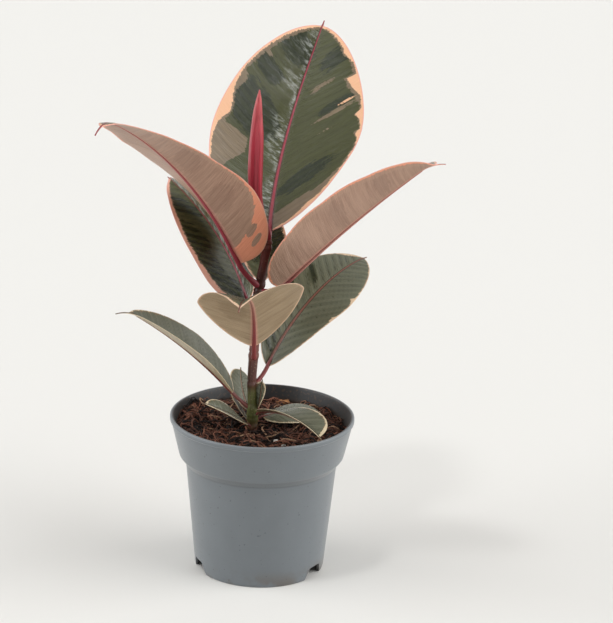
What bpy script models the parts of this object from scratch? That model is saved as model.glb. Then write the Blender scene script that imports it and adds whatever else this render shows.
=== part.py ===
"""Potted rubber plant: a young variegated rubber plant in a round 12 cm nursery pot.

Metres, +Z up. The origin is the middle of the pot's underside, which the pot stands on, and the pot's
axis is the Z axis. The front is towards -Y. Headings are in degrees, anticlockwise from +X seen from above.
"""

import math
from dataclasses import dataclass

import bmesh
import bpy
from mathutils import Vector

MM = 0.001

# Pot, in millimetres until MM is applied.
RIM_RADIUS = 60.0
POT_HEIGHT = 104.0
FOOT_RADIUS = 41.8
WALL = 1.3
TURNED_STEPS = 36
CENTRE_FLAT_RADIUS = 24.0
CHANNEL_LIFT = 8.0
FOOT_RING_WIDTH = 1.7
NOTCH_HEADINGS = (-157.0, -31.0, 86.0)
NOTCH_WIDTH = 21.0
NOTCH_TOP_WIDTH = 11.0
NOTCH_HEIGHT = 8.0
NOTCH_DEPTH = 7.0

# Potting mix.
SOIL_AT_STEM = 94.0
SOIL_AT_WALL = 92.5
GAP = 0.3

# Stem and bud sheath: centre line points (x, y, z) with the radius there.
STEM_LINE = (
    (-5.6, 0.0, 62.0, 3.4),
    (-5.9, 0.0, 92.0, 3.6),
    (-6.5, 0.0, 110.0, 3.2),
    (-7.2, 0.0, 128.0, 2.9),
    (-6.3, 0.0, 148.0, 3.1),
    (-4.9, 0.0, 176.0, 3.0),
    (-3.9, 0.0, 189.0, 3.2),
    (-1.1, 0.0, 208.0, 2.8),
    (0.9, 0.0, 219.5, 2.8),
    (0.9, 0.0, 223.0, 2.6),
)
SHEATH_LINE = (
    (0.9, 0.0, 223.3, 2.6),
    (0.3, 0.0, 228.0, 2.7),
    (-2.6, 0.0, 236.0, 2.9),
    (-5.6, 0.0, 246.0, 3.4),
    (-7.2, 0.0, 255.0, 4.1),
    (-7.7, 0.0, 265.0, 4.6),
    (-7.6, 0.0, 278.0, 4.6),
    (-7.3, 0.0, 291.5, 4.2),
    (-7.1, 0.0, 305.0, 3.1),
    (-6.6, 0.0, 314.0, 1.9),
    (-6.2, 0.0, 321.0, 0.4),
)
STEM_SIDES_RESOLUTION = 3
RIB_SIDES_RESOLUTION = 2

# Blades.
BLADE_THICKNESS = 0.8
SMALL_BLADE_THICKNESS = 0.6
SMALL_LEAF_LENGTH = 56.0
RIB_END_RADIUS = 0.35
RIB_END_SHARE = 0.9
END_HALF_WIDTH = 0.6
DRIP_SHARE = 0.92
STEPS_PER_STATION = 6


@dataclass
class Leaf:
    """One leaf: where its petiole leaves the stem, and how its blade lies. Millimetres and degrees."""

    name: str
    node_height: float
    heading: float  # of the blade's base
    sweep: float  # change of heading over the blade
    petiole: float  # length
    petiole_turn: float  # heading of the petiole's start against the blade's
    petiole_pitch: float  # at the stem
    petiole_radius: float
    length: float
    width: float
    tip: float  # length of the drip tip past the blade
    pitch: float  # of the blade's base above level
    droop: float  # fall of that pitch over the blade
    roll: float  # about the midrib, at the base
    twist: float  # change of roll over the blade
    fold: float  # rise of each half from the midrib, at the base
    unfold: float  # change of fold over the blade
    curl: float  # bend of each half from the midrib to the margin
    widest: float  # share of the length where the blade is widest
    fullness: float  # outline: 1 is a diamond, 2 an ellipse
    lopsided: float = 0.0  # share by which the right half is wider, and the left half narrower
    tip_bend: float = 0.0  # extra fall of the pitch over the drip tip


LEAVES = (
    Leaf(
        "leaf_top", 217.5, 88, -29, 10, -11, 74, 1.7, 160, 110, 4,
        34, -20, -28.5, 36, 0.5, 14.5, -7.5, 0.49, 1.7,
    ),
    Leaf(
        "leaf_upper_left", 193.5, -148, 32, 22, 13, 41, 1.7, 176, 71, 8,
        64.5, 43, 13.5, -9, 34.5, -43, 4, 0.295, 1.5, 0, 60,
    ),
    Leaf(
        "leaf_upper_right", 188.5, -26, -9, 14, -1.5, 9.5, 1.7, 146, 73, 8,
        47.5, 8.5, 20, -31, 47.5, -26, -2, 0.443, 1.8, 0.05, 30,
    ),
    Leaf(
        "leaf_back", 185.5, 94, -16, 8, -28, 66, 1.1, 61.5, 32, 3,
        39.5, 14, -2.5, 2, 13.5, -1.5, -4, 0.49, 1.5,
    ),
    Leaf(
        "leaf_middle_left", 165.5, 149.5, 31, 15.5, -16, 75, 1.4, 94.5, 57, 1.5,
        68, 26, -5.5, -2, -5, -2, -16, 0.515, 2.3,
    ),
    Leaf(
        "leaf_front", 144.5, -89, -12, 11, 1, 56.5, 1.5, 97.5, 69, 4,
        68, 66.5, 14, -5.5, 4, 25, -12.5, 0.51, 1.4, 0, 40,
    ),
    Leaf(
        "leaf_middle_right", 125, 39.5, 20.5, 13.5, -3, 42.5, 1.4, 116.5, 51.5, 4,
        59.5, 63.5, 11.5, 9, 11.5, -9, -6.5, 0.51, 1.6,
    ),
    Leaf(
        "leaf_lower_left", 109.5, 179.5, 34, 13.5, 0.5, 39.5, 1.2, 92.5, 37, 10,
        48, 14.5, -6, -22.5, 27.5, 8.5, 1, 0.42, 1.5, -0.17, 36,
    ),
    Leaf(
        "leaf_small_back", 103.5, 121, -30.5, 2.5, 4, 51.5, 0.7, 31, 19.5, 2,
        45, 11.5, 21, 16, 11.5, -10.5, -7, 0.525, 2.4,
    ),
    Leaf(
        "leaf_small_upright", 107.5, -16, 23.5, 2, -8, 53.5, 0.6, 18.5, 11.5, 1.5,
        80.5, -5.5, 38.5, 13, 24.5, -9, 1, 0.515, 2.1,
    ),
    Leaf(
        "leaf_low_front_left", 97, -154, -8, 2.5, 37, 41.5, 0.7, 34.5, 16.5, 2,
        38.5, 16.5, -6.5, -11.5, 1, 31, -6.5, 0.55, 1.8,
    ),
    Leaf(
        "leaf_lower_right", 105, -42.5, 1, 4, 3, 45, 0.8, 54, 30, 2.5,
        21.5, 50, -16.5, 11, 3.5, 34, -4.5, 0.58, 2.5,
    ),
    Leaf(
        "leaf_low_right_back", 100.5, 13, 25.5, 4, 3, 34, 0.7, 41.5, 22, 2,
        16.5, 40, 1.5, 27, -13.5, 13, -20, 0.51, 2.3,
    ),
    Leaf(
        "leaf_low_left_narrow", 95.5, 155.5, -5, 2, -35, 61.5, 0.5, 23, 9, 1.5,
        54, 1.5, 20, -2, 4.5, -8, -8, 0.495, 1.9,
    ),
)

# Loose bits on the potting mix: name, centre (x, y, z), size (x, y, z), turn about Z.
CHIPS = (
    ("bark_chip", (12.5, 49.0, 95.1), (8.0, 4.5, 1.6), 12.0),
    ("perlite_1", (9.5, -24.0, 95.3), (2.4, 2.0, 1.6), 30.0),
    ("perlite_2", (14.5, -31.0, 95.2), (1.9, 2.4, 1.4), -20.0),
)
CHIP_TAPER = 0.72

POT_GREY = (0.165, 0.178, 0.186, 1.0)
SOIL_BROWN = (0.060, 0.034, 0.022, 1.0)
STEM_BROWN = (0.085, 0.032, 0.026, 1.0)
SHEATH_RED = (0.430, 0.065, 0.070, 1.0)
LEAF_GREEN = (0.040, 0.075, 0.030, 1.0)
BARK_TAN = (0.450, 0.230, 0.100, 1.0)
PERLITE_WHITE = (0.800, 0.780, 0.740, 1.0)


def collection_named(name, hidden=False):
    found = bpy.data.collections.new(name)
    found.hide_render = hidden
    bpy.context.scene.collection.children.link(found)
    return found


def material_named(name, colour, roughness):
    material = bpy.data.materials.new(name)
    material.use_nodes = True
    shader = material.node_tree.nodes["Principled BSDF"]
    shader.inputs["Base Color"].default_value = colour
    shader.inputs["Roughness"].default_value = roughness
    shader.inputs["Metallic"].default_value = 0.0
    return material


def object_from(mesh, name, collection, material=None):
    item = bpy.data.objects.new(name, mesh)
    collection.objects.link(item)
    if material:
        mesh.materials.append(material)
    return item


def as_cutter(item):
    item.hide_render = True
    item.display_type = "WIRE"
    return item


def object_from_bmesh(shape, name, collection, material=None):
    mesh = bpy.data.meshes.new(name)
    shape.to_mesh(mesh)
    shape.free()
    return object_from(mesh, name, collection, material)


def boolean(item, cutter, operation):
    modifier = item.modifiers.new(operation.title() + " " + cutter.name, "BOOLEAN")
    modifier.operation = operation
    modifier.solver = "EXACT"
    modifier.object = cutter


def turned(name, profile, collection, material):
    """A solid turned about the Z axis. The (radius, height) profile runs down its outer side."""
    shape = bmesh.new()
    corners = [shape.verts.new((radius * MM, 0.0, height * MM)) for radius, height in profile]
    for first, second in zip(corners, corners[1:]):
        shape.edges.new((first, second))
    item = object_from_bmesh(shape, name, collection, material)
    screw = item.modifiers.new("Turn", "SCREW")
    screw.axis = "Z"
    screw.steps = screw.render_steps = TURNED_STEPS
    screw.use_merge_vertices = True
    screw.merge_threshold = 0.00001
    screw.use_smooth_shade = True
    return item


def rod(name, line, resolution, collection, material=None):
    """A closed round rod along (point, radius) stations, in metres, with flat ends."""
    data = bpy.data.curves.new(name, "CURVE")
    data.dimensions = "3D"
    data.bevel_depth = 1.0
    data.bevel_resolution = resolution
    data.use_fill_caps = True
    spline = data.splines.new("POLY")
    spline.points.add(len(line) - 1)
    for point, (place, radius) in zip(spline.points, line):
        point.co = (*place, 1.0)
        point.radius = radius
    curve = bpy.data.objects.new(name, data)
    collection.objects.link(curve)
    seen = curve.evaluated_get(bpy.context.evaluated_depsgraph_get())
    mesh = bpy.data.meshes.new_from_object(seen)
    bpy.data.objects.remove(curve)
    shape = bmesh.new()
    shape.from_mesh(mesh)
    bmesh.ops.remove_doubles(shape, verts=shape.verts[:], dist=0.00001)
    bmesh.ops.recalc_face_normals(shape, faces=shape.faces[:])
    shape.to_mesh(mesh)
    shape.free()
    mesh.shade_smooth()
    mesh.set_sharp_from_angle(angle=math.radians(50.0))
    return object_from(mesh, name, collection, material)


def stem_stations(extra_radius=0.0, stretch=0.0):
    """The stem's (point, radius) stations, made thicker by one length and longer at each end by the other."""
    line = [(Vector(values[:3]) * MM, (values[3] + extra_radius) * MM) for values in STEM_LINE]
    first, last = line[0], line[-1]
    line[0] = (first[0] - Vector((0.0, 0.0, stretch * MM)), first[1])
    line[-1] = (last[0] + Vector((0.0, 0.0, stretch * MM)), last[1])
    return line


def stem_centre(height):
    """The stem's centre at a height in millimetres, in metres."""
    for lower, upper in zip(STEM_LINE, STEM_LINE[1:]):
        if lower[2] <= height <= upper[2]:
            share = (height - lower[2]) / (upper[2] - lower[2])
            return Vector(lower[:3]).lerp(Vector(upper[:3]), share) * MM
    raise ValueError("no stem at this height")


def outer_radius(height):
    """The pot wall's outer radius at a height, all in millimetres."""
    lower_wall = 42.4 + (height - 2.0) * (49.3 - 42.4) / (72.6 - 2.0)
    if height <= 72.6:
        return lower_wall
    if height <= 78.1:
        return 49.3 + (height - 72.6) * (53.8 - 49.3) / (78.1 - 72.6)
    return 53.8 + (height - 78.1) * (59.0 - 53.8) / (101.0 - 78.1)


def make_pot(parts, cutters):
    """A thin turned pot: lip, wide collar, tapered wall, foot ring and a raised drain channel, with three notches."""
    lip_under = POT_HEIGHT - 2.8
    inner_heights = (POT_HEIGHT - 1.0, 78.7, 73.2)
    floor_top = CHANNEL_LIFT + WALL
    outer_side = [(RIM_RADIUS - 0.5, POT_HEIGHT), (RIM_RADIUS, POT_HEIGHT - 0.6)]
    outer_side += [(RIM_RADIUS, lip_under), (outer_radius(lip_under) + 0.1, lip_under - 0.5)]
    outer_side += [(outer_radius(height), height) for height in (78.1, 72.6, 2.0)]
    outer_side += [(FOOT_RADIUS, 0.0)]
    underside = [(FOOT_RADIUS - FOOT_RING_WIDTH, 0.0), (FOOT_RADIUS - FOOT_RING_WIDTH - 0.4, CHANNEL_LIFT)]
    underside += [(CENTRE_FLAT_RADIUS + 1.6, CHANNEL_LIFT), (CENTRE_FLAT_RADIUS, 0.0), (0.0, 0.0)]
    inside = [(0.0, WALL), (CENTRE_FLAT_RADIUS - 0.8, WALL), (CENTRE_FLAT_RADIUS + 0.8, floor_top)]
    inside += [(outer_radius(floor_top) - WALL, floor_top)]
    inside += [(outer_radius(height) - WALL, height) for height in reversed(inner_heights)]
    inside += [(RIM_RADIUS - 2.0, POT_HEIGHT), outer_side[0]]
    pot = turned("pot", inside + outer_side[1:] + underside, parts, material_named("pot plastic", POT_GREY, 0.45))
    for number, heading in enumerate(NOTCH_HEADINGS, 1):
        boolean(pot, notch_cutter(number, heading, cutters), "DIFFERENCE")


def notch_cutter(number, heading, cutters):
    """A wedge with sloping ends that cuts one drain notch through the foot of the wall."""
    shape = bmesh.new()
    bmesh.ops.create_cube(shape, size=1.0)
    below = 2.0
    for vert in shape.verts:
        width = NOTCH_TOP_WIDTH if vert.co.z > 0 else NOTCH_WIDTH
        vert.co.y *= width
        vert.co.x = FOOT_RADIUS + vert.co.x * 2.0 * NOTCH_DEPTH
        vert.co.z = NOTCH_HEIGHT if vert.co.z > 0 else -below
    bmesh.ops.scale(shape, vec=(MM, MM, MM), verts=shape.verts[:])
    cutter = object_from_bmesh(shape, "notch_cutter_%d" % number, cutters)
    cutter.rotation_euler.z = math.radians(heading)
    return as_cutter(cutter)


def make_soil(parts, stem_clearance):
    """The potting mix fills the pot to its freeboard, a small gap off every wall, with a socket for the stem."""
    floor_top = CHANNEL_LIFT + WALL + GAP
    side = [(outer_radius(height) - WALL - GAP, height) for height in (SOIL_AT_WALL, 78.7, 73.2, floor_top)]
    top = [(0.0, SOIL_AT_STEM), (25.0, SOIL_AT_STEM - 0.4)]
    under = [(CENTRE_FLAT_RADIUS + 0.4, floor_top), (CENTRE_FLAT_RADIUS - 1.2, WALL + GAP), (0.0, WALL + GAP)]
    soil = turned("potting_mix", top + side + under, parts, material_named("potting mix", SOIL_BROWN, 0.95))
    boolean(soil, stem_clearance, "DIFFERENCE")


def direction(heading, pitch):
    """Forward and upward unit vectors of a leaf that points along a heading at a pitch."""
    turn, rise = math.radians(heading), math.radians(pitch)
    forward = Vector((math.cos(rise) * math.cos(turn), math.cos(rise) * math.sin(turn), math.sin(rise)))
    upward = Vector((-math.sin(rise) * math.cos(turn), -math.sin(rise) * math.sin(turn), math.cos(rise)))
    return forward, upward


def walk(start, length, steps, heading_at, pitch_at):
    """Points along a line of this length whose heading and pitch follow the share of the way gone."""
    points = [start]
    for step in range(steps):
        share = (step + 0.5) / steps
        forward, _ = direction(heading_at(share), pitch_at(share))
        points.append(points[-1] + forward * (length / steps))
    return points


def petiole_points(leaf, steps=6):
    """The petiole's centre line, from the stem's skin to the blade."""
    turn = math.radians(leaf.heading + leaf.petiole_turn)
    stem_radius = 3.2 * MM
    start = stem_centre(leaf.node_height) + Vector((math.cos(turn), math.sin(turn), 0.0)) * stem_radius
    return walk(
        start,
        leaf.petiole * MM,
        steps,
        lambda share: leaf.heading + leaf.petiole_turn * (1.0 - share) ** 1.5,
        lambda share: leaf.petiole_pitch + (leaf.pitch - leaf.petiole_pitch) * share**2,
    )


def half_width(leaf, share, across):
    """The blade's width on one side of its midrib, in millimetres. Past share 1 there is only the drip tip."""
    body = 0.0
    if share < 1.0:
        place = 2.0 * share ** (math.log(0.5) / math.log(leaf.widest)) - 1.0
        body = 0.5 * leaf.width * (1.0 - abs(place) ** leaf.fullness) ** (1.0 / leaf.fullness)
    end = 1.0 + leaf.tip / leaf.length
    left = min(1.0, (end - share) / (end - DRIP_SHARE))
    drip = 0.03 * leaf.width * left * max(0.0, (share - 0.5) * 2.0)
    return (body**3 + drip**3 + END_HALF_WIDTH**3) ** (1.0 / 3.0) * (1.0 + math.copysign(1.0, across) * leaf.lopsided)


def pitch_along(leaf, share):
    """The midrib's pitch at a share of the length: it falls evenly, and faster over the drip tip."""
    tip_share = (share - DRIP_SHARE) / (1.0 + leaf.tip / leaf.length - DRIP_SHARE)
    return leaf.pitch - leaf.droop * share - leaf.tip_bend * max(0.0, tip_share)


def blade_stations(leaf, start, count):
    """Along the midrib: (share of the length, point, side, upward), from the petiole's end to the drip tip."""
    total = leaf.length + leaf.tip
    reach = total / leaf.length
    steps = count * STEPS_PER_STATION
    points = walk(
        start,
        total * MM,
        steps,
        lambda part: leaf.heading + leaf.sweep * part * reach,
        lambda part: pitch_along(leaf, part * reach),
    )
    stations = []
    for number in range(count + 1):
        share = reach * number / count
        forward, upward = direction(leaf.heading + leaf.sweep * share, pitch_along(leaf, share))
        side = forward.cross(upward)
        roll = math.radians(leaf.roll + leaf.twist * share)
        rolled_up = upward * math.cos(roll) + side * math.sin(roll)
        rolled_side = side * math.cos(roll) - upward * math.sin(roll)
        stations.append((share, points[number * STEPS_PER_STATION], rolled_side, rolled_up))
    return stations


def blade_point(leaf, station, across):
    """A point of the blade's middle surface, across from -1 at the left margin to 1 at the right."""
    share, point, side, upward = station
    fold = math.radians(leaf.fold + leaf.unfold * share)
    curl = math.radians(leaf.curl)
    reach = half_width(leaf, share, across) * MM / curl
    out = reach * (math.sin(fold + curl * abs(across)) - math.sin(fold))
    rise = reach * (math.cos(fold) - math.cos(fold + curl * abs(across)))
    return point + side * math.copysign(out, across) + upward * rise


def make_leaf(leaf, parts, cutters, material, stem_clearance):
    """A thin blade joined to its petiole and midrib, and cut clear of the stem."""
    small = leaf.length < SMALL_LEAF_LENGTH
    rows, columns = (8, 4) if small else (14, 6)
    stem_end = petiole_points(leaf)
    stations = blade_stations(leaf, stem_end[-1], rows)

    shape = bmesh.new()
    bmesh.ops.create_grid(shape, x_segments=rows, y_segments=columns, size=1.0)
    for vert in shape.verts:
        station = stations[round((vert.co.x + 1.0) * 0.5 * rows)]
        vert.co = blade_point(leaf, station, vert.co.y)
    blade = object_from_bmesh(shape, leaf.name, parts, material)
    blade.data.shade_smooth()
    solidify = blade.modifiers.new("Blade thickness", "SOLIDIFY")
    solidify.thickness = (SMALL_BLADE_THICKNESS if small else BLADE_THICKNESS) * MM
    solidify.offset = 0.0

    boolean(blade, as_cutter(make_rib(leaf, stem_end, stations, cutters)), "UNION")
    boolean(blade, stem_clearance, "DIFFERENCE")


def make_rib(leaf, petiole, stations, cutters):
    """The petiole and the midrib under the blade, one rod that starts inside the stem and thins to the tip."""
    centre = stem_centre(leaf.node_height)
    start = leaf.petiole_radius
    line = [(centre.lerp(petiole[0], 0.5), start * MM)]
    line += [(point, start * MM) for point in petiole[::2]]
    for share, point, _, upward in stations[1:]:
        if share > RIB_END_SHARE:
            break
        radius = start + (RIB_END_RADIUS - start) * share**0.6
        line.append((point - upward * radius * 0.55 * MM, radius * MM))
    return rod(leaf.name + "_rib", line, RIB_SIDES_RESOLUTION, cutters)


def make_chip(name, centre, size, turn, parts, material):
    """A loose bit: a block whose top is smaller than its base, with its edges broken."""
    shape = bmesh.new()
    bmesh.ops.create_cube(shape, size=1.0)
    for vert in shape.verts:
        if vert.co.z > 0:
            vert.co.x *= CHIP_TAPER
            vert.co.y *= CHIP_TAPER
    bmesh.ops.scale(shape, vec=[side * MM for side in size], verts=shape.verts[:])
    chip = object_from_bmesh(shape, name, parts, material)
    chip.location = Vector(centre) * MM
    chip.rotation_euler.z = math.radians(turn)


def main():
    for item in list(bpy.data.objects):
        bpy.data.objects.remove(item)
    parts = collection_named("potted rubber plant")
    cutters = collection_named("cutters", hidden=True)

    make_pot(parts, cutters)
    stem_clearance = as_cutter(rod("stem_clearance", stem_stations(GAP, GAP), STEM_SIDES_RESOLUTION, cutters))
    make_soil(parts, stem_clearance)
    rod("stem", stem_stations(), STEM_SIDES_RESOLUTION, parts, material_named("stem bark", STEM_BROWN, 0.5))
    sheath = [(Vector(values[:3]) * MM, values[3] * MM) for values in SHEATH_LINE]
    rod("bud_sheath", sheath, STEM_SIDES_RESOLUTION, parts, material_named("bud sheath", SHEATH_RED, 0.35))
    leaf_green = material_named("leaf", LEAF_GREEN, 0.3)
    for leaf in LEAVES:
        make_leaf(leaf, parts, cutters, leaf_green, stem_clearance)
    bark = material_named("bark chip", BARK_TAN, 0.85)
    perlite = material_named("perlite", PERLITE_WHITE, 0.9)
    for name, centre, size, turn in CHIPS:
        make_chip(name, centre, size, turn, parts, bark if name == "bark_chip" else perlite)


main()
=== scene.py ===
"""Potted rubber plant: the looks of a young variegated rubber plant in a round nursery pot.

Metres, +Z up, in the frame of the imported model. The front is towards -Y. Headings are in degrees,
anticlockwise from +X seen from above.
"""

import math
import random
from dataclasses import dataclass, field

import bmesh
import bpy
import numpy as np
from bpy.props import FloatProperty, FloatVectorProperty, IntProperty, PointerProperty
from mathutils import Matrix, Vector, noise


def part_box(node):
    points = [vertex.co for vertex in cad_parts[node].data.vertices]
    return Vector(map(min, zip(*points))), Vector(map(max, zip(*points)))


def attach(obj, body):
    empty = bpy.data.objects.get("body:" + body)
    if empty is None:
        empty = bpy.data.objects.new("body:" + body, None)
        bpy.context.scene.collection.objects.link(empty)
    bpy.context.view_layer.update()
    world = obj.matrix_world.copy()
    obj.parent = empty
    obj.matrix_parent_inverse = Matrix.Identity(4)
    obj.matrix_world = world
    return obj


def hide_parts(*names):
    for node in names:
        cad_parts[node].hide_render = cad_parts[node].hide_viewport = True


bl_info = {
    "name": "Potted rubber plant",
    "version": (1, 0, 0),
    "blender": (4, 5, 0),
    "location": "3D View > Sidebar > Rubber plant",
    "description": "A young variegated rubber plant in a nursery pot, with a plain studio stage",
    "category": "Add Mesh",
}

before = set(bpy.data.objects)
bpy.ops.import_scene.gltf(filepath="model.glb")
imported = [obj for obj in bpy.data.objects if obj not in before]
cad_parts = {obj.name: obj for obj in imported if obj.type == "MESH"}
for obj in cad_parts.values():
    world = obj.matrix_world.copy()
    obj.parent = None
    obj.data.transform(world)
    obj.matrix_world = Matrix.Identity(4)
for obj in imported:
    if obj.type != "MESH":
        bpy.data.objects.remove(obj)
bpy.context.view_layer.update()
MM = 0.001

POT_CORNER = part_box("pot")[1]
RIM_RADIUS = POT_CORNER.x
POT_HEIGHT = POT_CORNER.z
SOIL_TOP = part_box("potting_mix")[1].z
CHIP_LOW, CHIP_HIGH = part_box("bark_chip")

# The pot, in millimetres and degrees
WALL = 1.3
FLOOR_HEIGHT = 8.0
FOOT_RADIUS = 41.8
FOOT_ROUNDING = 2.0
LEDGE_LOW, LEDGE_HIGH = 72.6, 78.1
COLLAR_TOP = 101.0
WALL_START, LEDGE_INNER, LEDGE_OUTER, COLLAR_RADIUS = 42.4, 49.3, 53.8, 59.0
NOTCH_HEADINGS = (-157.0, -31.0, 86.0)
NOTCH_WIDTH, NOTCH_TOP_WIDTH = 21.0, 11.0

# Share of a blade's length where its drip tip starts
TIP_START = 0.92


# ---------------------------------------------------------------- settings


def colour_property(name, description, default):
    return FloatVectorProperty(
        name=name, description=description, default=default, subtype="COLOR", size=3, min=0.0, max=1.0
    )


class LeafSettings(bpy.types.PropertyGroup):
    """Sizes and colours that every leaf shares."""

    thickness: FloatProperty(
        name="Blade thickness", description="Of a large blade, at its middle", default=0.55 * MM, unit="LENGTH"
    )
    mesh_step: FloatProperty(
        name="Mesh step", description="Spacing of the blade's mesh along the midrib", default=1.1 * MM, unit="LENGTH"
    )
    deep_green: colour_property("Deep green", "Darkest patches of the upper side", (0.013, 0.019, 0.003))
    grey_green: colour_property("Grey green", "Most of the upper side", (0.048, 0.052, 0.012))
    # Painted glint: a pale colour for streaks beside the midrib, standing in for the reflection of the top light.
    painted_glint: colour_property("Silver", "Streaks beside some midribs", (0.400, 0.420, 0.380))
    olive_tan: colour_property("Olive tan", "Pale patches between green and cream", (0.205, 0.150, 0.090))
    cream: colour_property("Cream", "Variegated margin of the older leaves", (0.620, 0.520, 0.350))
    apricot: colour_property("Apricot", "Variegated margin of the young leaves", (0.770, 0.430, 0.250))
    rim_pink: colour_property("Rim pink", "Thin edge of the young leaves", (0.780, 0.360, 0.300))
    rib_red: colour_property("Rib red", "Midrib and petiole of the young leaves", (0.320, 0.035, 0.055))
    under_tan: colour_property("Under tan", "Underside of the young leaves", (0.400, 0.250, 0.178))
    under_dark: colour_property("Under dark", "Streaks of the underside", (0.270, 0.150, 0.105))
    old_green: colour_property("Old green", "Most of the upper side of the older leaves", (0.130, 0.137, 0.094))
    under_olive: colour_property("Under olive", "Underside of the older leaves", (0.385, 0.315, 0.195))


class PotSettings(bpy.types.PropertyGroup):
    """Sizes and colours of the nursery pot."""

    wall: FloatProperty(name="Wall", description="Wall thickness", default=WALL * MM, unit="LENGTH")
    steps: IntProperty(name="Steps", description="Steps round the pot", default=192, min=24)
    outside: colour_property("Outside", "Grey plastic of the outer face", (0.134, 0.151, 0.164))
    # Painted shade: the inner face is near black to stand for the shade inside the pot.
    inside: colour_property("Inside", "Grey plastic of the inner face, damp and dusty", (0.022, 0.023, 0.024))


class SoilSettings(bpy.types.PropertyGroup):
    """Sizes and colours of the potting mix."""

    fibres: IntProperty(name="Fibres", description="Number of coir fibres", default=1300, min=0)
    crumbs: IntProperty(name="Crumbs", description="Number of peat crumbs", default=420, min=0)
    roughness_height: FloatProperty(
        name="Unevenness", description="Height of the lumps", default=3.4 * MM, unit="LENGTH"
    )
    dark: colour_property("Dark", "Damp peat in the gaps", (0.010, 0.006, 0.005))
    brown: colour_property("Brown", "Red-brown coir", (0.130, 0.052, 0.032))
    pale: colour_property("Pale", "Dry fibres", (0.430, 0.260, 0.160))


class StageSettings(bpy.types.PropertyGroup):
    """Floor, lights and camera."""

    floor: colour_property("Floor", "Matt floor", (0.755, 0.748, 0.722))
    right: FloatProperty(name="Right", description="Strength of the broad light at the right", default=2.9, min=0.0)
    left: FloatProperty(name="Left", description="Strength of the broad light at the left", default=2.7, min=0.0)
    top: FloatProperty(name="Top", description="Strength of the small light overhead", default=0.38, min=0.0)
    sky: FloatProperty(name="Sky", description="Strength of the white surroundings", default=0.56, min=0.0)


# ---------------------------------------------------------------- leaves: their sizes and places


CREAM, TAN, DEEP, PLAIN = 0, 1, 2, 3


@dataclass
class Blotch:
    """A patch of one colour on a blade, in shares of its length and half width, leaning along the veins."""

    kind: int  # CREAM, TAN or DEEP green, or PLAIN green left open in the cream and tan
    share: float
    across: float  # from -1 at the left margin to 1 at the right
    reach: float  # along the midrib, in millimetres
    spread: float  # across, in millimetres


@dataclass
class Leaf:
    """One leaf. The fields down to tip_bend are its size and place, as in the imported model: millimetres, degrees."""

    node: str
    node_height: float
    heading: float  # of the blade's base
    sweep: float  # change of heading over the blade
    petiole: float  # its length
    petiole_turn: float  # heading of the petiole's start against the blade's
    petiole_pitch: float
    petiole_radius: float
    length: float
    width: float
    tip: float  # length of the drip tip past the blade
    pitch: float
    droop: float  # fall of the pitch over the blade
    roll: float
    twist: float  # change of roll over the blade
    fold: float
    unfold: float  # change of fold over the blade
    curl: float  # turn of each half between the midrib and the margin
    widest: float  # share of the length where the blade is widest
    fullness: float  # power of the outline: 2 is an ellipse, more is blunter
    lopsided: float = 0.0  # share by which the right half is wider, and the left half narrower
    tip_bend: float = 0.0  # extra fall of the pitch over the drip tip
    young: float = 1.0  # 1 is a fresh leaf with apricot and pink, 0 an old one with cream
    painted_glints: float = 0.0  # strength of the painted glint streaks beside the midrib: above 0 at the left, below 0 at the right
    rosy: float = 0.0  # share of pink in the pale margin
    rimmed: float = 1.0  # strength of the thin pale edge
    pale_rib: float = 0.0  # share of pale pink in the midrib
    painted_crease_shading: float = 0.3  # strength of the painted shade in the creases at the lateral veins and of the painted highlight on the swellings between them
    quilting: float = 0.12  # height of the swelling between lateral veins
    vein_gap: float = 8.0  # between large lateral veins
    wave: float = 0.8  # height of the margin's wave
    vein_lean: float = 0.5  # towards the tip, for each step out from the midrib
    cream_left: tuple = ((0.0, 1.0), (1.0, 1.0))  # width of the cream margin at shares of the length
    cream_right: tuple = ((0.0, 1.0), (1.0, 1.0))
    tan_left: tuple = ((0.0, 0.5), (1.0, 0.5))
    tan_right: tuple = ((0.0, 0.5), (1.0, 0.5))
    blotches: tuple = field(default_factory=tuple)


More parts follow.
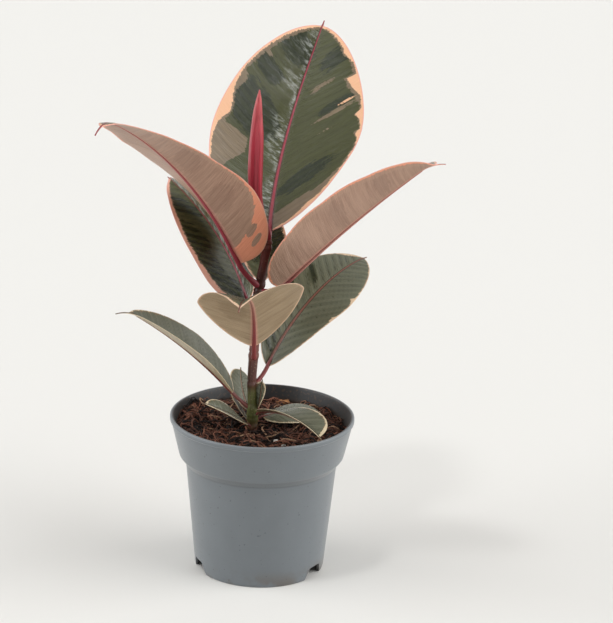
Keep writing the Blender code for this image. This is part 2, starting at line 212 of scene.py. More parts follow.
LEAVES = (
    Leaf(
        "leaf_top", node_height=217.5, heading=88, sweep=-29,
        petiole=10, petiole_turn=-11, petiole_pitch=74, petiole_radius=1.7,
        length=160, width=110, tip=4, widest=0.49, fullness=1.7,
        pitch=34, droop=-20, roll=-28.5, twist=36, fold=0.5, unfold=14.5, curl=-7.5,
        painted_glints=0.8, painted_crease_shading=0.15, quilting=0.30, vein_gap=6.5, wave=0.9,
        cream_left=(
            (0.0, 1.0), (0.3, 1.2), (0.45, 1.7), (0.5, 2.6), (0.54, 5.0), (0.57, 10.0), (0.6, 9.0), (0.63, 6.5),
            (0.68, 3.6), (0.74, 1.6), (0.85, 1.8), (0.94, 2.2), (1.0, 2.0),
        ),
        cream_right=(
            (0.0, 1.5), (0.1, 3.4), (0.17, 1.9), (0.3, 1.0), (0.44, 1.0), (0.47, 4.5), (0.5, 1.6), (0.55, 2.5),
            (0.575, 6.5), (0.61, 1.6), (0.68, 2.2), (0.72, 7.0), (0.76, 8.5), (0.79, 1.4), (0.84, 0.8), (0.88, 3.8),
            (0.93, 2.6), (1.0, 2.0),
        ),
        tan_left=(
            (0.0, 3.0), (0.3, 3.0), (0.36, 10.0), (0.4, 24.0), (0.46, 27.0), (0.5, 17.0), (0.53, 4.0), (0.57, 1.2),
            (0.66, 1.5), (0.71, 6.5), (0.75, 1.5), (0.85, 3.0), (1.0, 2.0),
        ),
        tan_right=(
            (0.0, 6.0), (0.08, 14.0), (0.14, 11.0), (0.2, 4.0), (0.3, 1.0), (0.62, 0.8), (0.68, 4.0), (0.76, 2.0),
            (1.0, 1.0),
        ),
        blotches=(
            Blotch(DEEP, 0.585, -0.52, 17, 21), Blotch(DEEP, 0.90, -0.46, 13, 15), Blotch(DEEP, 0.77, -0.6, 8, 12),
            Blotch(DEEP, 0.26, 0.45, 8, 18), Blotch(DEEP, 0.63, 0.62, 5, 12), Blotch(DEEP, 0.86, 0.6, 9, 10),
            Blotch(DEEP, 0.16, -0.4, 8, 12),
            Blotch(TAN, 0.84, -0.84, 3.0, 4.5), Blotch(TAN, 0.70, 0.26, 2.6, 3.2), Blotch(TAN, 0.735, 0.42, 1.4, 8),
            Blotch(TAN, 0.59, 0.60, 2.0, 14), Blotch(CREAM, 0.645, 0.74, 1.4, 6), Blotch(TAN, 0.50, 0.55, 0.9, 8),
        ),
    ),
    Leaf(
        "leaf_upper_left", node_height=193.5, heading=-148, sweep=32,
        petiole=22, petiole_turn=13, petiole_pitch=41, petiole_radius=1.7,
        length=176, width=71, tip=8, widest=0.295, fullness=1.5,
        pitch=64.5, droop=43, tip_bend=60, roll=13.5, twist=-9, fold=34.5, unfold=-43, curl=4,
        quilting=0.10, vein_gap=8.0, wave=0.7,
        cream_left=(
            (0.0, 30.0), (0.05, 24.0), (0.08, 18.0), (0.12, 14.0), (0.15, 11.0), (0.18, 8.0), (0.22, 5.5), (0.26, 3.5),
            (0.34, 1.6), (0.5, 1.0), (1.0, 1.2),
        ),
        cream_right=((0.0, 22.0), (0.05, 9.0), (0.08, 3.5), (0.15, 1.6), (0.5, 1.2), (1.0, 1.5)),
        tan_left=((0.0, 2.0), (0.3, 2.0), (0.6, 4.0), (1.0, 3.0)),
        tan_right=((0.0, 3.0), (0.5, 6.0), (1.0, 4.0)),
        blotches=(
            Blotch(PLAIN, 0.08, -0.70, 2.4, 5), Blotch(PLAIN, 0.125, -0.62, 3.0, 5),
            Blotch(DEEP, 0.3, -0.35, 10, 12), Blotch(DEEP, 0.55, -0.5, 12, 10), Blotch(TAN, 0.6, 0.5, 10, 8),
        ),
    ),
    Leaf(
        "leaf_upper_right", node_height=188.5, heading=-26, sweep=-9,
        petiole=14, petiole_turn=-1.5, petiole_pitch=9.5, petiole_radius=1.7,
        length=146, width=73, tip=8, widest=0.443, fullness=1.8, lopsided=0.05,
        pitch=47.5, droop=8.5, tip_bend=30, roll=20, twist=-31, fold=47.5, unfold=-26, curl=-2,
        pale_rib=0.85,
        quilting=0.12, vein_gap=9.0, wave=0.9,
        cream_left=((0.0, 3.0), (0.2, 1.4), (0.6, 1.0), (1.0, 1.2)),
        cream_right=((0.0, 1.6), (0.2, 0.9), (0.6, 1.3), (0.8, 2.0), (1.0, 1.4)),
        tan_left=((0.0, 3.0), (0.5, 2.5), (1.0, 5.0)),
        tan_right=((0.0, 6.0), (0.5, 4.0), (1.0, 4.0)),
        blotches=(
            Blotch(DEEP, 0.52, 0.45, 6, 16), Blotch(DEEP, 0.78, 0.5, 6, 12), Blotch(TAN, 0.66, 0.5, 6, 16),
            Blotch(TAN, 0.36, 0.5, 6, 14),
        ),
    ),
    Leaf(
        "leaf_back", node_height=185.5, heading=94, sweep=-16,
        petiole=8, petiole_turn=-28, petiole_pitch=66, petiole_radius=1.1,
        length=61.5, width=32, tip=3, widest=0.49, fullness=1.5,
        pitch=39.5, droop=14, roll=-2.5, twist=2, fold=13.5, unfold=-1.5, curl=-4,
        young=0.7, vein_gap=6.0, wave=0.4,
        cream_left=((0.0, 0.8), (0.5, 1.2), (1.0, 1.0)), cream_right=((0.0, 0.8), (0.5, 1.4), (1.0, 1.0)),
        blotches=(Blotch(DEEP, 0.5, 0.4, 12, 9), Blotch(DEEP, 0.5, -0.4, 14, 9)),
    ),
    Leaf(
        "leaf_middle_left", node_height=165.5, heading=149.5, sweep=31,
        petiole=15.5, petiole_turn=-16, petiole_pitch=75, petiole_radius=1.4,
        length=94.5, width=57, tip=1.5, widest=0.515, fullness=2.3,
        pitch=68, droop=26, roll=-5.5, twist=-2, fold=-5, unfold=-2, curl=-16,
        young=0.85, painted_glints=-0.8, rosy=0.6, painted_crease_shading=0.75, quilting=0.34, vein_gap=5.5, wave=0.9, vein_lean=0.8,
        cream_left=((0.0, 2.0), (0.15, 3.2), (0.3, 3.6), (0.42, 2.6), (0.6, 2.2), (0.75, 3.0), (1.0, 2.0)),
        cream_right=((0.0, 1.0), (0.5, 1.5), (1.0, 1.5)),
        tan_left=((0.0, 0.5), (1.0, 0.8)),
        blotches=(
            Blotch(DEEP, 0.30, -0.72, 16, 9), Blotch(DEEP, 0.58, -0.70, 14, 9), Blotch(DEEP, 0.12, -0.5, 10, 9),
            Blotch(DEEP, 0.82, -0.5, 9, 12), Blotch(DEEP, 0.4, 0.5, 20, 9),
        ),
    ),
    Leaf(
        "leaf_front", node_height=144.5, heading=-89, sweep=-12,
        petiole=11, petiole_turn=1, petiole_pitch=56.5, petiole_radius=1.5,
        length=97.5, width=69, tip=4, widest=0.51, fullness=1.4,
        pitch=68, droop=66.5, tip_bend=40, roll=14, twist=-5.5, fold=4, unfold=25, curl=-12.5,
        young=0.35, quilting=0.12, vein_gap=7.5, wave=0.5,
        cream_left=((0.0, 0.5), (0.5, 0.8), (1.0, 1.0)), cream_right=((0.0, 0.5), (0.5, 0.9), (1.0, 1.2)),
        blotches=(Blotch(DEEP, 0.4, 0.4, 12, 9), Blotch(TAN, 0.55, -0.6, 8, 9)),
    ),
    Leaf(
        "leaf_middle_right", node_height=125, heading=39.5, sweep=20.5,
        petiole=13.5, petiole_turn=-3, petiole_pitch=42.5, petiole_radius=1.4,
        length=116.5, width=51.5, tip=4, widest=0.51, fullness=1.6,
        pitch=59.5, droop=63.5, roll=11.5, twist=9, fold=11.5, unfold=-9, curl=-6.5,
        young=0.3, rimmed=0.35, painted_crease_shading=0.6, quilting=0.55, vein_gap=7.0, wave=0.9, vein_lean=0.75,
        cream_left=((0.0, 0.2), (0.86, 0.3), (0.92, 3.0), (0.96, 2.5), (1.0, 0.8)),
        cream_right=(
            (0.0, 0.2), (0.37, 0.3), (0.4, 2.2), (0.43, 0.3), (0.55, 0.3), (0.58, 2.8), (0.61, 0.3), (0.86, 0.3),
            (0.9, 0.8), (1.0, 0.6),
        ),
        tan_left=((0.0, 0.2), (1.0, 0.4)), tan_right=((0.0, 0.2), (1.0, 0.4)),
        blotches=(Blotch(DEEP, 0.45, -0.6, 5, 8), Blotch(DEEP, 0.62, -0.5, 4, 7), Blotch(DEEP, 0.15, -0.5, 8, 6)),
    ),
    Leaf(
        "leaf_lower_left", node_height=109.5, heading=179.5, sweep=34,
        petiole=13.5, petiole_turn=0.5, petiole_pitch=39.5, petiole_radius=1.2,
        length=92.5, width=37, tip=10, widest=0.42, fullness=1.5, lopsided=-0.17,
        pitch=48, droop=14.5, tip_bend=36, roll=-6, twist=-22.5, fold=27.5, unfold=8.5, curl=1,
        young=0.0, rimmed=0.25, painted_crease_shading=0.35, quilting=0.30, vein_gap=4.5, wave=0.5, vein_lean=0.7,
        cream_left=((0.0, 1.2), (0.5, 1.4), (1.0, 1.0)), cream_right=((0.0, 0.0), (0.5, -0.2), (1.0, 0.3)),
        tan_left=((0.0, 0.8), (0.5, 1.2), (1.0, 1.0)), tan_right=((0.0, 0.5), (0.5, 0.5), (1.0, 1.0)),
        blotches=(Blotch(DEEP, 0.5, -0.75, 14, 2.5),),
    ),
    Leaf(
        "leaf_small_back", node_height=103.5, heading=121, sweep=-30.5,
        petiole=2.5, petiole_turn=4, petiole_pitch=51.5, petiole_radius=0.7,
        length=31, width=19.5, tip=2, widest=0.525, fullness=2.4,
        pitch=45, droop=11.5, roll=21, twist=16, fold=11.5, unfold=-10.5, curl=-7,
        young=0.0, quilting=0.16, vein_gap=3.5, wave=0.4,
        cream_left=((0.0, 0.3), (1.0, 0.4)), cream_right=((0.0, 0.3), (1.0, 0.3)),
    ),
    Leaf(
        "leaf_small_upright", node_height=107.5, heading=-16, sweep=23.5,
        petiole=2, petiole_turn=-8, petiole_pitch=53.5, petiole_radius=0.6,
        length=18.5, width=11.5, tip=1.5, widest=0.515, fullness=2.1,
        pitch=80.5, droop=-5.5, roll=38.5, twist=13, fold=24.5, unfold=-9, curl=1,
        young=0.0, quilting=0.05, vein_gap=3.0, wave=0.2,
        cream_left=((0.0, 0.9), (1.0, 0.9)), cream_right=((0.0, 1.0), (1.0, 1.0)),
    ),
    Leaf(
        "leaf_low_front_left", node_height=97, heading=-154, sweep=-8,
        petiole=2.5, petiole_turn=37, petiole_pitch=41.5, petiole_radius=0.7,
        length=34.5, width=16.5, tip=2, widest=0.55, fullness=1.8,
        pitch=38.5, droop=16.5, roll=-6.5, twist=-11.5, fold=1, unfold=31, curl=-6.5,
        young=0.0, quilting=0.10, vein_gap=4.0, wave=0.3,
        cream_left=((0.0, 0.6), (0.5, 0.6), (0.85, 0.8), (1.0, 3.0)), cream_right=((0.0, 0.3), (0.9, 0.4), (1.0, 2.0)),
    ),
    Leaf(
        "leaf_lower_right", node_height=105, heading=-42.5, sweep=1,
        petiole=4, petiole_turn=3, petiole_pitch=45, petiole_radius=0.8,
        length=54, width=30, tip=2.5, widest=0.58, fullness=2.5,
        pitch=21.5, droop=50, roll=-16.5, twist=11, fold=3.5, unfold=34, curl=-4.5,
        young=0.0, quilting=0.16, vein_gap=6.5, wave=0.3, vein_lean=0.8,
        cream_left=((0.0, 0.4), (0.5, 0.7), (0.9, 1.0), (1.0, 4.0)),
        cream_right=((0.0, 0.6), (0.5, 1.2), (0.85, 2.0), (1.0, 4.0)),
        blotches=(Blotch(DEEP, 0.2, 0.5, 9, 9),),
    ),
    Leaf(
        "leaf_low_right_back", node_height=100.5, heading=13, sweep=25.5,
        petiole=4, petiole_turn=3, petiole_pitch=34, petiole_radius=0.7,
        length=41.5, width=22, tip=2, widest=0.51, fullness=2.3,
        pitch=16.5, droop=40, roll=1.5, twist=27, fold=-13.5, unfold=13, curl=-20,
        young=0.0, quilting=0.14, vein_gap=5.0, wave=0.3,
        cream_left=((0.0, 0.4), (1.0, 0.6)), cream_right=((0.0, 0.5), (1.0, 0.6)),
    ),
    Leaf(
        "leaf_low_left_narrow", node_height=95.5, heading=155.5, sweep=-5,
        petiole=2, petiole_turn=-35, petiole_pitch=61.5, petiole_radius=0.5,
        length=23, width=9, tip=1.5, widest=0.495, fullness=1.9,
        pitch=54, droop=1.5, roll=20, twist=-2, fold=4.5, unfold=-8, curl=-8,
        young=0.0, quilting=0.03, vein_gap=3.0, wave=0.2,
        cream_left=((0.0, 0.8), (1.0, 0.8)), cream_right=((0.0, 0.4), (1.0, 0.6)),
    ),
)

STEM_LINE = (
    (-5.9, 0.0, 88.0, 3.6),
    (-6.5, 0.0, 110.0, 3.2),
    (-7.2, 0.0, 128.0, 2.9),
    (-6.3, 0.0, 148.0, 3.1),
    (-4.9, 0.0, 176.0, 3.0),
    (-3.9, 0.0, 189.0, 3.2),
    (-1.1, 0.0, 208.0, 2.8),
    (0.9, 0.0, 219.5, 2.8),
    (0.9, 0.0, 223.0, 2.6),
)
SHEATH_LINE = (
    (0.9, 0.0, 223.2, 2.6),
    (0.3, 0.0, 228.0, 2.7),
    (-2.6, 0.0, 236.0, 2.9),
    (-5.6, 0.0, 246.0, 3.4),
    (-7.2, 0.0, 255.0, 4.1),
    (-7.7, 0.0, 265.0, 4.6),
    (-7.6, 0.0, 278.0, 4.6),
    (-7.3, 0.0, 291.5, 4.2),
    (-7.1, 0.0, 305.0, 3.1),
    (-6.6, 0.0, 314.0, 1.9),
    (-6.2, 0.0, 321.0, 0.35),
)


# ---------------------------------------------------------------- nodes


class Nodes:
    """Short calls that add linked nodes to one tree. Each returns an output socket unless it says otherwise."""

    def __init__(self, tree):
        self.tree = tree

    def add(self, kind, settings=None, **inputs):
        """Adds a node, sets its properties, then sets or links the inputs named, and returns the node."""
        node = self.tree.nodes.new(kind)
        for name, value in (settings or {}).items():
            setattr(node, name, value)
        for name, value in inputs.items():
            self.feed(node.inputs[name.replace("_", " ")], value)
        return node

    def feed(self, socket, value):
        """Links an output to the input socket, or sets the socket to a number, a vector or a colour."""
        if isinstance(value, bpy.types.NodeSocket):
            self.tree.links.new(value, socket)
        elif hasattr(value, "__len__") and len(value) == 3 and socket.type == "RGBA":
            socket.default_value = (*value, 1.0)
        else:
            socket.default_value = value

    def math(self, operation, first, second=0.0, third=0.0, clamp=False):
        node = self.tree.nodes.new("ShaderNodeMath")
        node.operation = operation
        node.use_clamp = clamp
        for socket, value in zip(node.inputs, (first, second, third)):
            self.feed(socket, value)
        return node.outputs[0]

    def mix(self, share, first, second, blend="MIX"):
        node = self.tree.nodes.new("ShaderNodeMix")
        node.data_type = "RGBA"
        node.blend_type = blend
        node.clamp_factor = True
        self.feed(node.inputs[0], share)
        self.feed(node.inputs[6], first)
        self.feed(node.inputs[7], second)
        return node.outputs[2]

    def ramp(self, value, low, high, out_low=0.0, out_high=1.0):
        """A smooth step of the value between two levels."""
        node = self.tree.nodes.new("ShaderNodeMapRange")
        node.interpolation_type = "SMOOTHSTEP"
        ends = {"Value": value, "From Min": low, "From Max": high, "To Min": out_low, "To Max": out_high}
        for name, number in ends.items():
            self.feed(node.inputs[name], number)
        return node.outputs[0]

    def stretch(self, vector, scale):
        node = self.add("ShaderNodeVectorMath", {"operation": "MULTIPLY"})
        self.feed(node.inputs[0], vector)
        self.feed(node.inputs[1], scale)
        return node.outputs[0]

    def noise(self, vector, scale, detail=3.0, roughness=0.5):
        node = self.add("ShaderNodeTexNoise", Vector=vector, Scale=scale, Detail=detail, Roughness=roughness)
        return node.outputs["Fac"]

    def attribute(self, name, output="Fac"):
        return self.add("ShaderNodeAttribute", {"attribute_name": name}).outputs[output]

    def place(self):
        return self.add("ShaderNodeTexCoord").outputs["Object"]

    def split(self, vector):
        return self.add("ShaderNodeSeparateXYZ", Vector=vector).outputs

    def bump(self, skin, height, strength, distance):
        """Gives a shader's inputs a bump of the height, whose full depth is the distance in metres."""
        bump = self.add("ShaderNodeBump", Height=height, Strength=strength, Distance=distance)
        self.feed(skin["Normal"], bump.outputs[0])

    def group(self, group, **inputs):
        """Places a node group and returns its outputs."""
        return self.add("ShaderNodeGroup", {"node_tree": group}, **inputs).outputs


def new_group(name, inputs, outputs):
    """A shader node group with named sockets, given as (name, type, default). Returns its nodes and its two ends."""
    group = bpy.data.node_groups.new(name, "ShaderNodeTree")
    for label, kind, default in inputs:
        socket = group.interface.new_socket(label, in_out="INPUT", socket_type=kind)
        if default is not None:
            socket.default_value = default
    for label, kind in outputs:
        group.interface.new_socket(label, in_out="OUTPUT", socket_type=kind)
    nodes = Nodes(group)
    return group, nodes, group.nodes.new("NodeGroupInput").outputs, group.nodes.new("NodeGroupOutput").inputs


def vein_streak_group():
    """Fine streaks that run out along the lateral veins. The place is (mm along, mm across, a leaf's own)."""
    group, n, given, out = new_group(
        "Vein streaks",
        [("Vein Place", "NodeSocketVector", None), ("Per Millimetre", "NodeSocketFloat", 0.8)],
        [("Streaks", "NodeSocketFloat"), ("Fine", "NodeSocketFloat")],
    )
    place = given["Vein Place"]
    broad = n.noise(n.stretch(place, (0.55, 0.045, 7.3)), given["Per Millimetre"], 4.0, 0.6)
    fine = n.noise(n.stretch(place, (2.6, 0.10, 3.1)), given["Per Millimetre"], 2.0, 0.55)
    n.feed(out["Streaks"], n.ramp(broad, 0.32, 0.68))
    n.feed(out["Fine"], fine)
    return group


def ragged_patch_group():
    """Turns a smooth distance field, in millimetres, into a patch whose edge is ragged along the veins."""
    group, n, given, out = new_group(
        "Ragged patch",
        [
            ("Field", "NodeSocketFloat", 0.0),
            ("Vein Place", "NodeSocketVector", None),
            ("Raggedness", "NodeSocketFloat", 3.0),
            ("Shift", "NodeSocketVector", None),
            ("Softness", "NodeSocketFloat", 0.25),
        ],
        [("Mask", "NodeSocketFloat")],
    )
    moved = n.add("ShaderNodeVectorMath", {"operation": "ADD"})
    n.feed(moved.inputs[0], given["Vein Place"])
    n.feed(moved.inputs[1], given["Shift"])
    steps = n.noise(n.stretch(moved.outputs[0], (0.42, 0.11, 5.0)), 1.0, 3.0, 0.65)
    teeth = n.noise(n.stretch(moved.outputs[0], (1.5, 0.25, 5.0)), 1.0, 2.0, 0.5)
    offset = n.math("ADD", n.math("SUBTRACT", steps, 0.5), n.math("MULTIPLY", n.math("SUBTRACT", teeth, 0.5), 0.45))
    edge = n.math("ADD", given["Field"], n.math("MULTIPLY", offset, n.math("MULTIPLY", given["Raggedness"], 2.0)))
    low = n.math("MULTIPLY", given["Softness"], -1.0)
    n.feed(out["Mask"], n.ramp(edge, low, given["Softness"]))
    return group


def grain_group():
    """Even grain with a few larger marks, for plastic, bark and soil. The place is in metres."""
    group, n, given, out = new_group(
        "Grain",
        [("Place", "NodeSocketVector", None), ("Size", "NodeSocketFloat", 400.0)],
        [("Grain", "NodeSocketFloat"), ("Marks", "NodeSocketFloat"), ("Clouds", "NodeSocketFloat")],
    )
    grain = n.noise(given["Place"], given["Size"], 3.0, 0.6)
    marks = n.noise(given["Place"], n.math("MULTIPLY", given["Size"], 0.35), 2.0, 0.5)
    clouds = n.noise(given["Place"], n.math("MULTIPLY", given["Size"], 0.045), 3.0, 0.5)
    n.feed(out["Grain"], grain)
    n.feed(out["Marks"], n.ramp(marks, 0.70, 0.78))
    n.feed(out["Clouds"], clouds)
    return group


GROUPS = {}


def group_named(name):
    """The shared node group of that name, made when it is first asked for."""
    makers = {"streaks": vein_streak_group, "patch": ragged_patch_group, "grain": grain_group}
    if name not in GROUPS:
        GROUPS[name] = makers[name]()
    return GROUPS[name]


def new_material(name):
    """A material, its nodes and the inputs of its shader."""
    material = bpy.data.materials.new(name)
    material.use_nodes = True
    nodes = Nodes(material.node_tree)
    return material, nodes, material.node_tree.nodes["Principled BSDF"].inputs


def blend(share, first, second):
    """A colour that holds a share of the first and the rest of the second."""
    return tuple(share * a + (1 - share) * b for a, b in zip(first, second))


def shade(colour, factor):
    """A colour made lighter or darker by a factor."""
    return [factor * part for part in colour]


def painted_glint_mask(n, place, strength):
    """Painted glint: pale streaks close beside the midrib, in place of the top light's reflection, at its left where
    the strength is above 0 and at its right below 0.
    """
    beside = n.math("MULTIPLY", n.split(place)[1], -1.0 if strength > 0 else 1.0)
    flecks = n.noise(n.stretch(place, (0.42, 0.13, 1.0)), 1.0, 4.0, 0.7)
    patches = n.noise(n.stretch(place, (0.05, 0.04, 1.0)), 1.0, 1.0)
    painted_glint = n.math("MULTIPLY", n.ramp(flecks, 0.44, 0.66, 0.0, abs(strength)), n.ramp(beside, 0.4, 1.0))
    reach = n.math("MULTIPLY_ADD", n.ramp(patches, 0.4, 0.65), 13.0, 4.0)
    return n.math("MULTIPLY", painted_glint, n.ramp(n.math("DIVIDE", beside, reach), 0.25, 1.2, 1.0, 0.0))


def leaf_material(name, leaf):
    """Skin of a blade. Upper side glossy and patched, with painted shade in the vein creases, painted highlights on
    the swellings and, on some leaves, painted glints beside the midrib; underside dull and streaked, with the margin's
    rim on both.
    """
    look, young = bpy.context.scene.leaf_settings, leaf.young
    material, n, skin = new_material(name)
    place = n.attribute("vein_place", "Vector")
    swell = n.attribute("swell")
    fields = n.split(n.attribute("patch_fields", "Vector"))
    edge = n.attribute("edge_mm")
    rib = n.attribute("rib_mm")
    under = n.attribute("under")
    streaks = n.group(group_named("streaks"), Vein_Place=place)
    patch = group_named("patch")
    cream_mask = n.group(patch, Field=fields[0], Vein_Place=place, Raggedness=2.0, Shift=(0, 0, 0))[0]
    tan_mask = n.group(patch, Field=fields[1], Vein_Place=place, Raggedness=3.0, Shift=(31, 5, 0))[0]
    deep_mask = n.group(
        patch, Field=fields[2], Vein_Place=place, Raggedness=4.5, Shift=(77, 9, 0), Softness=0.6
    )[0]

    pale = blend(young, look.apricot, look.cream)
    pale = blend(leaf.rosy, look.rim_pink, pale)
    rim = blend(young, look.rim_pink, look.cream)
    plain = blend(young, look.grey_green, look.old_green)
    green = n.mix(n.math("MULTIPLY", streaks["Streaks"], 0.6), plain, shade(plain, 0.62))
    green = n.mix(n.ramp(streaks["Fine"], 0.35, 0.75, 0.0, 0.35), green, shade(plain, 1.5))
    green = n.mix(deep_mask, green, look.deep_green)
    # Painted highlight on the swellings between the lateral veins, and painted shade in the creases at the veins.
    green = n.mix(n.ramp(swell, 0.6, 1.0, 0.0, 0.5 * leaf.painted_crease_shading), green, shade(plain, 1.8))
    green = n.mix(n.ramp(swell, 0.0, 0.5, leaf.painted_crease_shading, 0.0), green, look.deep_green)
    # Painted glint beside the midrib, in place of the top light's reflection.
    if leaf.painted_glints:
        green = n.mix(painted_glint_mask(n, place, leaf.painted_glints), green, look.painted_glint)
    tan = n.mix(streaks["Streaks"], look.olive_tan, shade(look.olive_tan, 0.72))
    top = n.mix(tan_mask, green, tan)
    bright = [min(1.0, part * 1.25 + 0.06) for part in pale]
    cream = n.mix(n.ramp(streaks["Fine"], 0.3, 0.7, 0.0, 0.3), pale, bright)
    top = n.mix(cream_mask, top, cream)
    top = n.mix(n.ramp(edge, 0.25, 0.9, leaf.rimmed, 0.0), top, rim)
    from_rib = n.math("DIVIDE", rib, n.attribute("rib_half_mm"))
    on_rib = n.ramp(from_rib, 0.75, 1.25, 1.0, 0.0)
    rib_colour = blend(young, look.rib_red, (0.16, 0.10, 0.055))
    maroon = blend(young, (0.075, 0.012, 0.016), (0.030, 0.030, 0.012))
    top = n.mix(n.ramp(from_rib, 1.7, 2.3, 0.85, 0.0), top, maroon)
    top = n.mix(on_rib, top, rib_colour)

    below = blend(young, look.under_tan, look.under_olive)
    below_dark = blend(young, look.under_dark, (0.240, 0.185, 0.100))
    back = n.mix(n.math("MULTIPLY", streaks["Streaks"], 0.75), below, below_dark)
    back = n.mix(n.ramp(streaks["Fine"], 0.35, 0.7, 0.0, 0.45), back, shade(below, 1.25))
    back = n.mix(n.math("MULTIPLY", deep_mask, 0.35), back, shade(below_dark, 0.8))
    back = n.mix(n.math("MULTIPLY", tan_mask, 0.45), back, shade(below, 1.15))
    back_pale = blend(young, (0.86, 0.33, 0.20), (0.50, 0.40, 0.26))
    back = n.mix(n.math("MULTIPLY", cream_mask, 0.92), back, back_pale)
    back = n.mix(n.ramp(edge, 0.3, 0.9, 1.0, 0.0), back, blend(0.5, rim, pale))
    back = n.mix(n.ramp(from_rib, 1.0, 3.5, 0.55, 0.0), back, look.rim_pink)

    n.feed(skin["Base Color"], n.mix(under, top, back))
    rough = n.ramp(streaks["Fine"], 0.25, 0.75, 0.12, 0.24)
    n.feed(skin["Roughness"], n.math("ADD", n.math("MULTIPLY", under, 0.22), rough))
    skin["Specular IOR Level"].default_value = 0.36
    skin["Coat Roughness"].default_value = 0.12
    upper = n.math("SUBTRACT", 1.0, under)
    n.feed(skin["Coat Weight"], n.math("MULTIPLY", upper, 0.10))
    pebbles = n.noise(n.stretch(place, (0.75, 0.45, 1.0)), 1.0, 2.0, 0.5)
    pebbled = n.math("MULTIPLY", n.math("MULTIPLY", pebbles, n.ramp(rib, 2.0, 11.0, 2.6, 0.0)), upper)
    height = n.math("ADD", streaks["Fine"], n.math("MULTIPLY_ADD", streaks["Streaks"], 0.35, pebbled))
    n.bump(skin, height, 0.6, 0.0005)
    return material


def rib_material(name, leaf):
    """Midrib and petiole: red at the stem and paler towards the tip, with long fine lines."""
    look, young = bpy.context.scene.leaf_settings, leaf.young
    material, n, skin = new_material(name)
    share = n.attribute("rib_share")
    start = blend(young, look.rib_red, (0.20, 0.055, 0.045))
    end = blend(young, (0.44, 0.16, 0.13), (0.34, 0.24, 0.15))
    lines = n.noise(n.stretch(n.place(), (900.0, 900.0, 120.0)), 1.0, 2.0)
    tone = n.mix(n.ramp(share, 0.1, 0.85), start, end)
    tone = n.mix(n.ramp(share, 0.0, 0.15, 0.0, leaf.pale_rib), tone, (0.560, 0.270, 0.205))
    n.feed(skin["Base Color"], n.mix(n.math("MULTIPLY", lines, 0.5), tone, shade(start, 0.55)))
    n.feed(skin["Roughness"], n.ramp(lines, 0.2, 0.8, 0.30, 0.48))
    n.bump(skin, lines, 0.25, 0.0002)
    return material


# ---------------------------------------------------------------- shared mesh work


def finish_mesh(mesh, name, materials, slot, *replaced):
    """Makes a mesh an object at the origin that rides on the plant and stands for the nodes named."""
    for material in materials:
        mesh.materials.append(material)
    mesh.shade_smooth()
    piece = bpy.data.objects.new(name, mesh)
    bpy.context.scene.collection.objects.link(piece)
    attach(piece, "root")
    if replaced:
        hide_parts(*replaced)
    return piece


def mesh_from(shape, name):
    """Ends a bmesh and returns what it holds as a mesh."""
    mesh = bpy.data.meshes.new(name)
    shape.to_mesh(mesh)
    shape.free()
    return mesh


def coordinates(mesh):
    flat = np.empty(len(mesh.vertices) * 3)
    mesh.vertices.foreach_get("co", flat)
    return flat.reshape(-1, 3)


def set_coordinates(mesh, points):
    mesh.vertices.foreach_set("co", np.ascontiguousarray(points).ravel())
    mesh.update()


def set_attribute(mesh, name, values, domain="POINT"):
    """Stores one number, or one vector, per vertex or face."""
    values = np.asarray(values, dtype=float)
    kind, key = ("FLOAT_VECTOR", "vector") if values.ndim == 2 else ("FLOAT", "value")
    found = mesh.attributes.get(name) or mesh.attributes.new(name, kind, domain)
    found.data.foreach_set(key, values.ravel())


def add_tube(shape, points, radii, sides, ups=None, section=None, share_layer=None, shares=None):
    """Rolls a grid into a closed tube along the points. The section scales the radius by angle and share."""
    count = len(points)
    made = bmesh.ops.create_grid(shape, x_segments=count - 1, y_segments=sides, size=1.0)["verts"]
    frames, up = [], Vector((0.0, -1.0, 0.0))
    for number, point in enumerate(points):
        ahead = (points[min(number + 1, count - 1)] - points[max(number - 1, 0)]).normalized()
        up = ups[number] if ups else up
        up = (up - ahead * up.dot(ahead)).normalized()
        frames.append((point, up, ahead.cross(up)))
    for vert in made:
        number = round((vert.co.x + 1.0) * 0.5 * (count - 1))
        angle = math.pi * vert.co.y
        point, up, side = frames[number]
        reach = radii[number] * (section(angle, number / (count - 1)) if section else 1.0)
        if share_layer:
            vert[share_layer] = shares[number]
        vert.co = point + (up * math.cos(angle) + side * math.sin(angle)) * reach
    bmesh.ops.remove_doubles(shape, verts=made, dist=1e-8)
    bmesh.ops.holes_fill(shape, edges=[edge for edge in shape.edges if edge.is_boundary])


def through(line, count):
    """Evenly spaced stations on a smooth curve through the given ones: rows of (x, y, z, radius), millimetres."""
    rows = np.array(line)
    padded = np.vstack([2 * rows[0] - rows[1], rows, 2 * rows[-1] - rows[-2]])
    made = []
    for step in range(count + 1):
        place = step / count * (len(rows) - 1)
        number = min(int(place), len(rows) - 2)
        part = place - number
        a, b, c, d = padded[number : number + 4]
        made.append(
            0.5 * (2 * b + (c - a) * part + (2 * a - 5 * b + 4 * c - d) * part**2 + (3 * b - a - 3 * c + d) * part**3)
        )
    return np.array(made)


def stem_centre(height):
    """The stem's centre at a height in millimetres, in metres."""
    rows = np.array(STEM_LINE)
    return Vector([float(np.interp(height, rows[:, 2], rows[:, axis])) for axis in range(3)]) * MM


def check_place(piece, node, allowed):
    """Stops the script where a piece has left the place of the node that it stands for."""
    low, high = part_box(node)
    points = coordinates(piece.data)
    worst = max(np.abs(points.min(axis=0) - np.array(low)).max(), np.abs(points.max(axis=0) - np.array(high)).max())
    if worst > allowed:
        raise RuntimeError("%s is %.1f mm off its node" % (piece.name, worst / MM))


def copies(template, count, name):
    """One mesh of many copies of a bmesh, and the template's own points. The vertices come in blocks."""
    single = mesh_from(template, name + "_template")
    many = bmesh.new()
    for _ in range(count):
        many.from_mesh(single)
    points = coordinates(single)
    bpy.data.meshes.remove(single)
    return mesh_from(many, name), points


# ---------------------------------------------------------------- leaves


